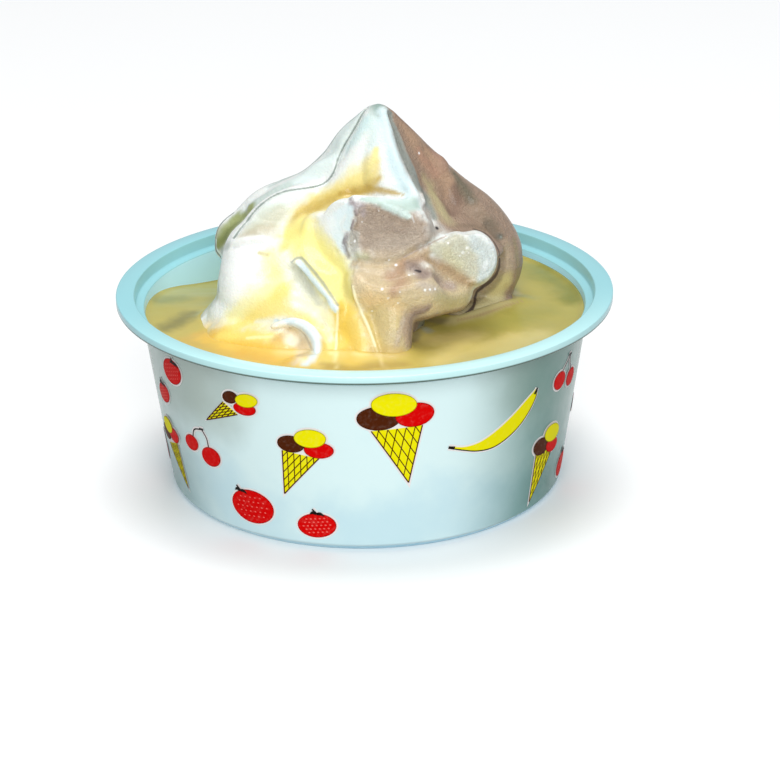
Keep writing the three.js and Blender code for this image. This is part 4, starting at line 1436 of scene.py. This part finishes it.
    def cherries(self, spot, one, other, side=1):
        """Two cherries on stalks that meet at a spot; side is where the first stalk bows to."""
        for shape, bow in zip((one, other), CHERRY_BOWS):
            x, y, _, high, _ = shape
            end = (x * CHERRY_ROOT[0], y + high * CHERRY_ROOT[1])
            middle = (end[0] / 2 - bow * side, end[1] / 2 + abs(bow) * 0.7)
            stops = [(*at, width) for at, width in zip(((0, 0), middle, end), CHERRY_STALK)]
            self.ribbon(spot, stops, BLACK, 2)
            self.oval(spot, shape, RED, 3)
        self.ribbon(spot, CHERRY_KNOT, BLACK, 3)

    def banana(self, spot, stops):
        """A banana along stops of x, y and width, dark at its ends and under it."""
        self.ribbon(spot, stops, YELLOW, 2)
        line = smooth_curve(stops, 4)
        step = np.gradient(line[:, :2], axis=0)
        side = np.column_stack([step[:, 1], -step[:, 0]]) / np.linalg.norm(step, axis=1)[:, None]
        under = line[:, :2] + side * (line[:, 2:] / 2 - BANANA_INSET)
        self.ribbon(spot, [(x, y, BANANA_SHADE) for x, y in under], BLACK, 3, False)
        for one, other in ((stops[0], stops[1]), (stops[-1], stops[-2])):
            step = np.subtract(other[:2], one[:2])
            step = step / np.linalg.norm(step)
            end = (*(one[:2] + step * BANANA_END[0]), BANANA_END[1])
            start = (*(one[:2] - step * BANANA_TIP[0]), BANANA_TIP[1])
            self.ribbon(spot, [start, end], BLACK, 3)


def tub_print():
    """The figures round the tub: those in front, and the same kinds again round the back."""
    made = Print()
    made.berry((-147.8, 34.6), (8.4, 6, 18), (1.6, 2.4))
    made.berry((-156.4, 27), (7, 4.6, 20), (0, 2.2))
    made.berry((-122.6, 8.1), (10.9, 8.2, 6), (-2.6, 3.4))
    made.berry((-103.4, 6.1), (8.6, 6, 8), (0.1, 2.9))
    made.berry((-14.6, 6), (7.6, 6, -10), (0.4, 3))
    made.cone((-151, 5.2), (-7.6, 8.4), (-1.8, 10.4), (-8, 11, 5.6, 3.8, 10),
              (-5.8, 13.4, 5.8, 3.8, 10), (-2.8, 12, 5.4, 3.6, 10))
    made.cone((-134.8, 26.6), (5.9, 6), (9.4, 3.8), (8, 7.6, 4.2, 2.9, 20),
              (12.1, 7.7, 5.6, 3.2, 12), (11.4, 5.6, 5.6, 3.1, 5))
    made.cone((-111.9, 13.1), (0.4, 10.7), (8.1, 9.6), (2.4, 12.5, 5.9, 4.1, 3),
              (6.5, 14.3, 6.7, 4.4, 5), (8.2, 11.6, 6.2, 3.9, 3))
    made.cone((-78.6, 16.7), (-7.8, 12.9), (2.5, 13.6), (-6.3, 15.9, 8.8, 5.7, 0),
              (-3.3, 19, 9.1, 5.5, -4), (0.9, 16.3, 7.9, 5.7, 5))
    made.cone((-36.8, 3.4), (0, 12.1), (7.2, 10.4), (1.6, 13.1, 6.2, 4.2, -20),
              (5.8, 14.9, 7.2, 4.3, -18), (6.6, 11.7, 6, 3.6, -18))
    made.cherries((-137.7, 23.5), (-4.8, -4.7, 5.4, 3.8, 17), (1.8, -6.1, 6.4, 4.6, 17))
    made.cherries((-24.7, 35.6), (-4.1, -4.8, 5.8, 4.3, -16), (2.5, -6.2, 5.4, 4.3, -16), -1)
    made.banana((-52.7, 24.3), [
        (-12.4, -0.4, 0.5), (-9.3, -1.3, 0.8), (-5.7, -1.7, 2), (-2.1, -1.2, 3.4), (1.3, 0.2, 4),
        (4.7, 2.3, 4), (7.4, 4.7, 3.2), (9, 6.5, 2), (9.7, 7.7, 0.7),
    ])
    for turn in (0, 57, 114):
        made.cherries((turn, 23), *PAIR)
        made.cone((turn + 20, 12), (-3.4, 10.6), (4, 10.2), (-2.6, 12.8, 6, 4.1, 3),
                  (0.6, 14.7, 6.6, 4.3, 0), (3.2, 12.3, 6, 4, -3))
        made.berry((turn + 38, 8), (8.8, 7, 6), (0.2, 3.2))
        made.banana((turn + 42, 28), [
            (-9.6, -1, 0.6), (-6, -2.4, 1.6), (-1.5, -2.2, 3), (3, -0.4, 3.4), (6.8, 2.4, 2.4),
            (9, 5.4, 0.7),
        ])
    made.cherries((174, 30), *PAIR)
    made.berry((186, 9), (8.8, 7, -6), (0.2, 3.2))
    return made.bm


# ---- the object ----
ice = ice_cream()
pool = sauce(ice)
painted(ice, pool)
finished("soft_ice", ice, ice_material(), "soft_ice", "soft_ice_twist")
finished("sauce", pool, sauce_material(), "egg_sauce", "egg_sauce")
finished("cup", tub(), plastic_material(), "tub_plastic", "tub")
finished("cup_print", tub_print(), print_material(), "tub_plastic")


# ---- stage, lights and camera, in metres ----
FLOOR_REACH = 6
FLOOR_WHITE = (0.98, 0.98, 0.98, 1)
SKY = (0.95, 0.98, 1, 1)
SKY_STRENGTH = 0.42


def area_light(name, place, aim, size, power):
    """A soft square white light that faces a point."""
    data = bpy.data.lights.new(name, "AREA")
    data.size = size
    data.energy = power
    light = placed(name, data)
    light.location = place
    light.rotation_euler = (Vector(aim) - Vector(place)).to_track_quat("-Z", "Y").to_euler()


def studio():
    """A pale floor, an even sky, a broad light over the cup and one in front of it."""
    bm = bmesh.new()
    bmesh.ops.create_grid(bm, x_segments=1, y_segments=1, size=FLOOR_REACH)
    floor = placed("floor", mesh_of("floor", bm))
    white = Material("floor", Base_Color=FLOOR_WHITE, Roughness=0.9)
    floor.data.materials.append(white.material)
    floor.visible_diffuse = False
    world = bpy.data.worlds.new("sky")
    world.use_nodes = True
    sky = world.node_tree.nodes["Background"].inputs
    sky["Color"].default_value = SKY
    sky["Strength"].default_value = SKY_STRENGTH
    bpy.context.scene.world = world
    area_light("front", place=(0.04, -0.62, 0.37), aim=(0, 0, 0.05), size=0.42, power=3.65)
    area_light("top", place=(0, 0.3, 1.9), aim=(0, 0.1, 0), size=1.0, power=20)


def camera():
    """The camera, a little above the cup."""
    data = bpy.data.cameras.new("view")
    data.sensor_width = SENSOR
    data.lens = LENS
    data.clip_start = 0.01
    made = placed("view", data)
    made.matrix_world = Matrix.Translation(EYE * MM) @ LOOK.to_4x4()
    bpy.context.scene.camera = made


studio()
camera()
bpy.context.scene.view_settings.view_transform = "Standard"
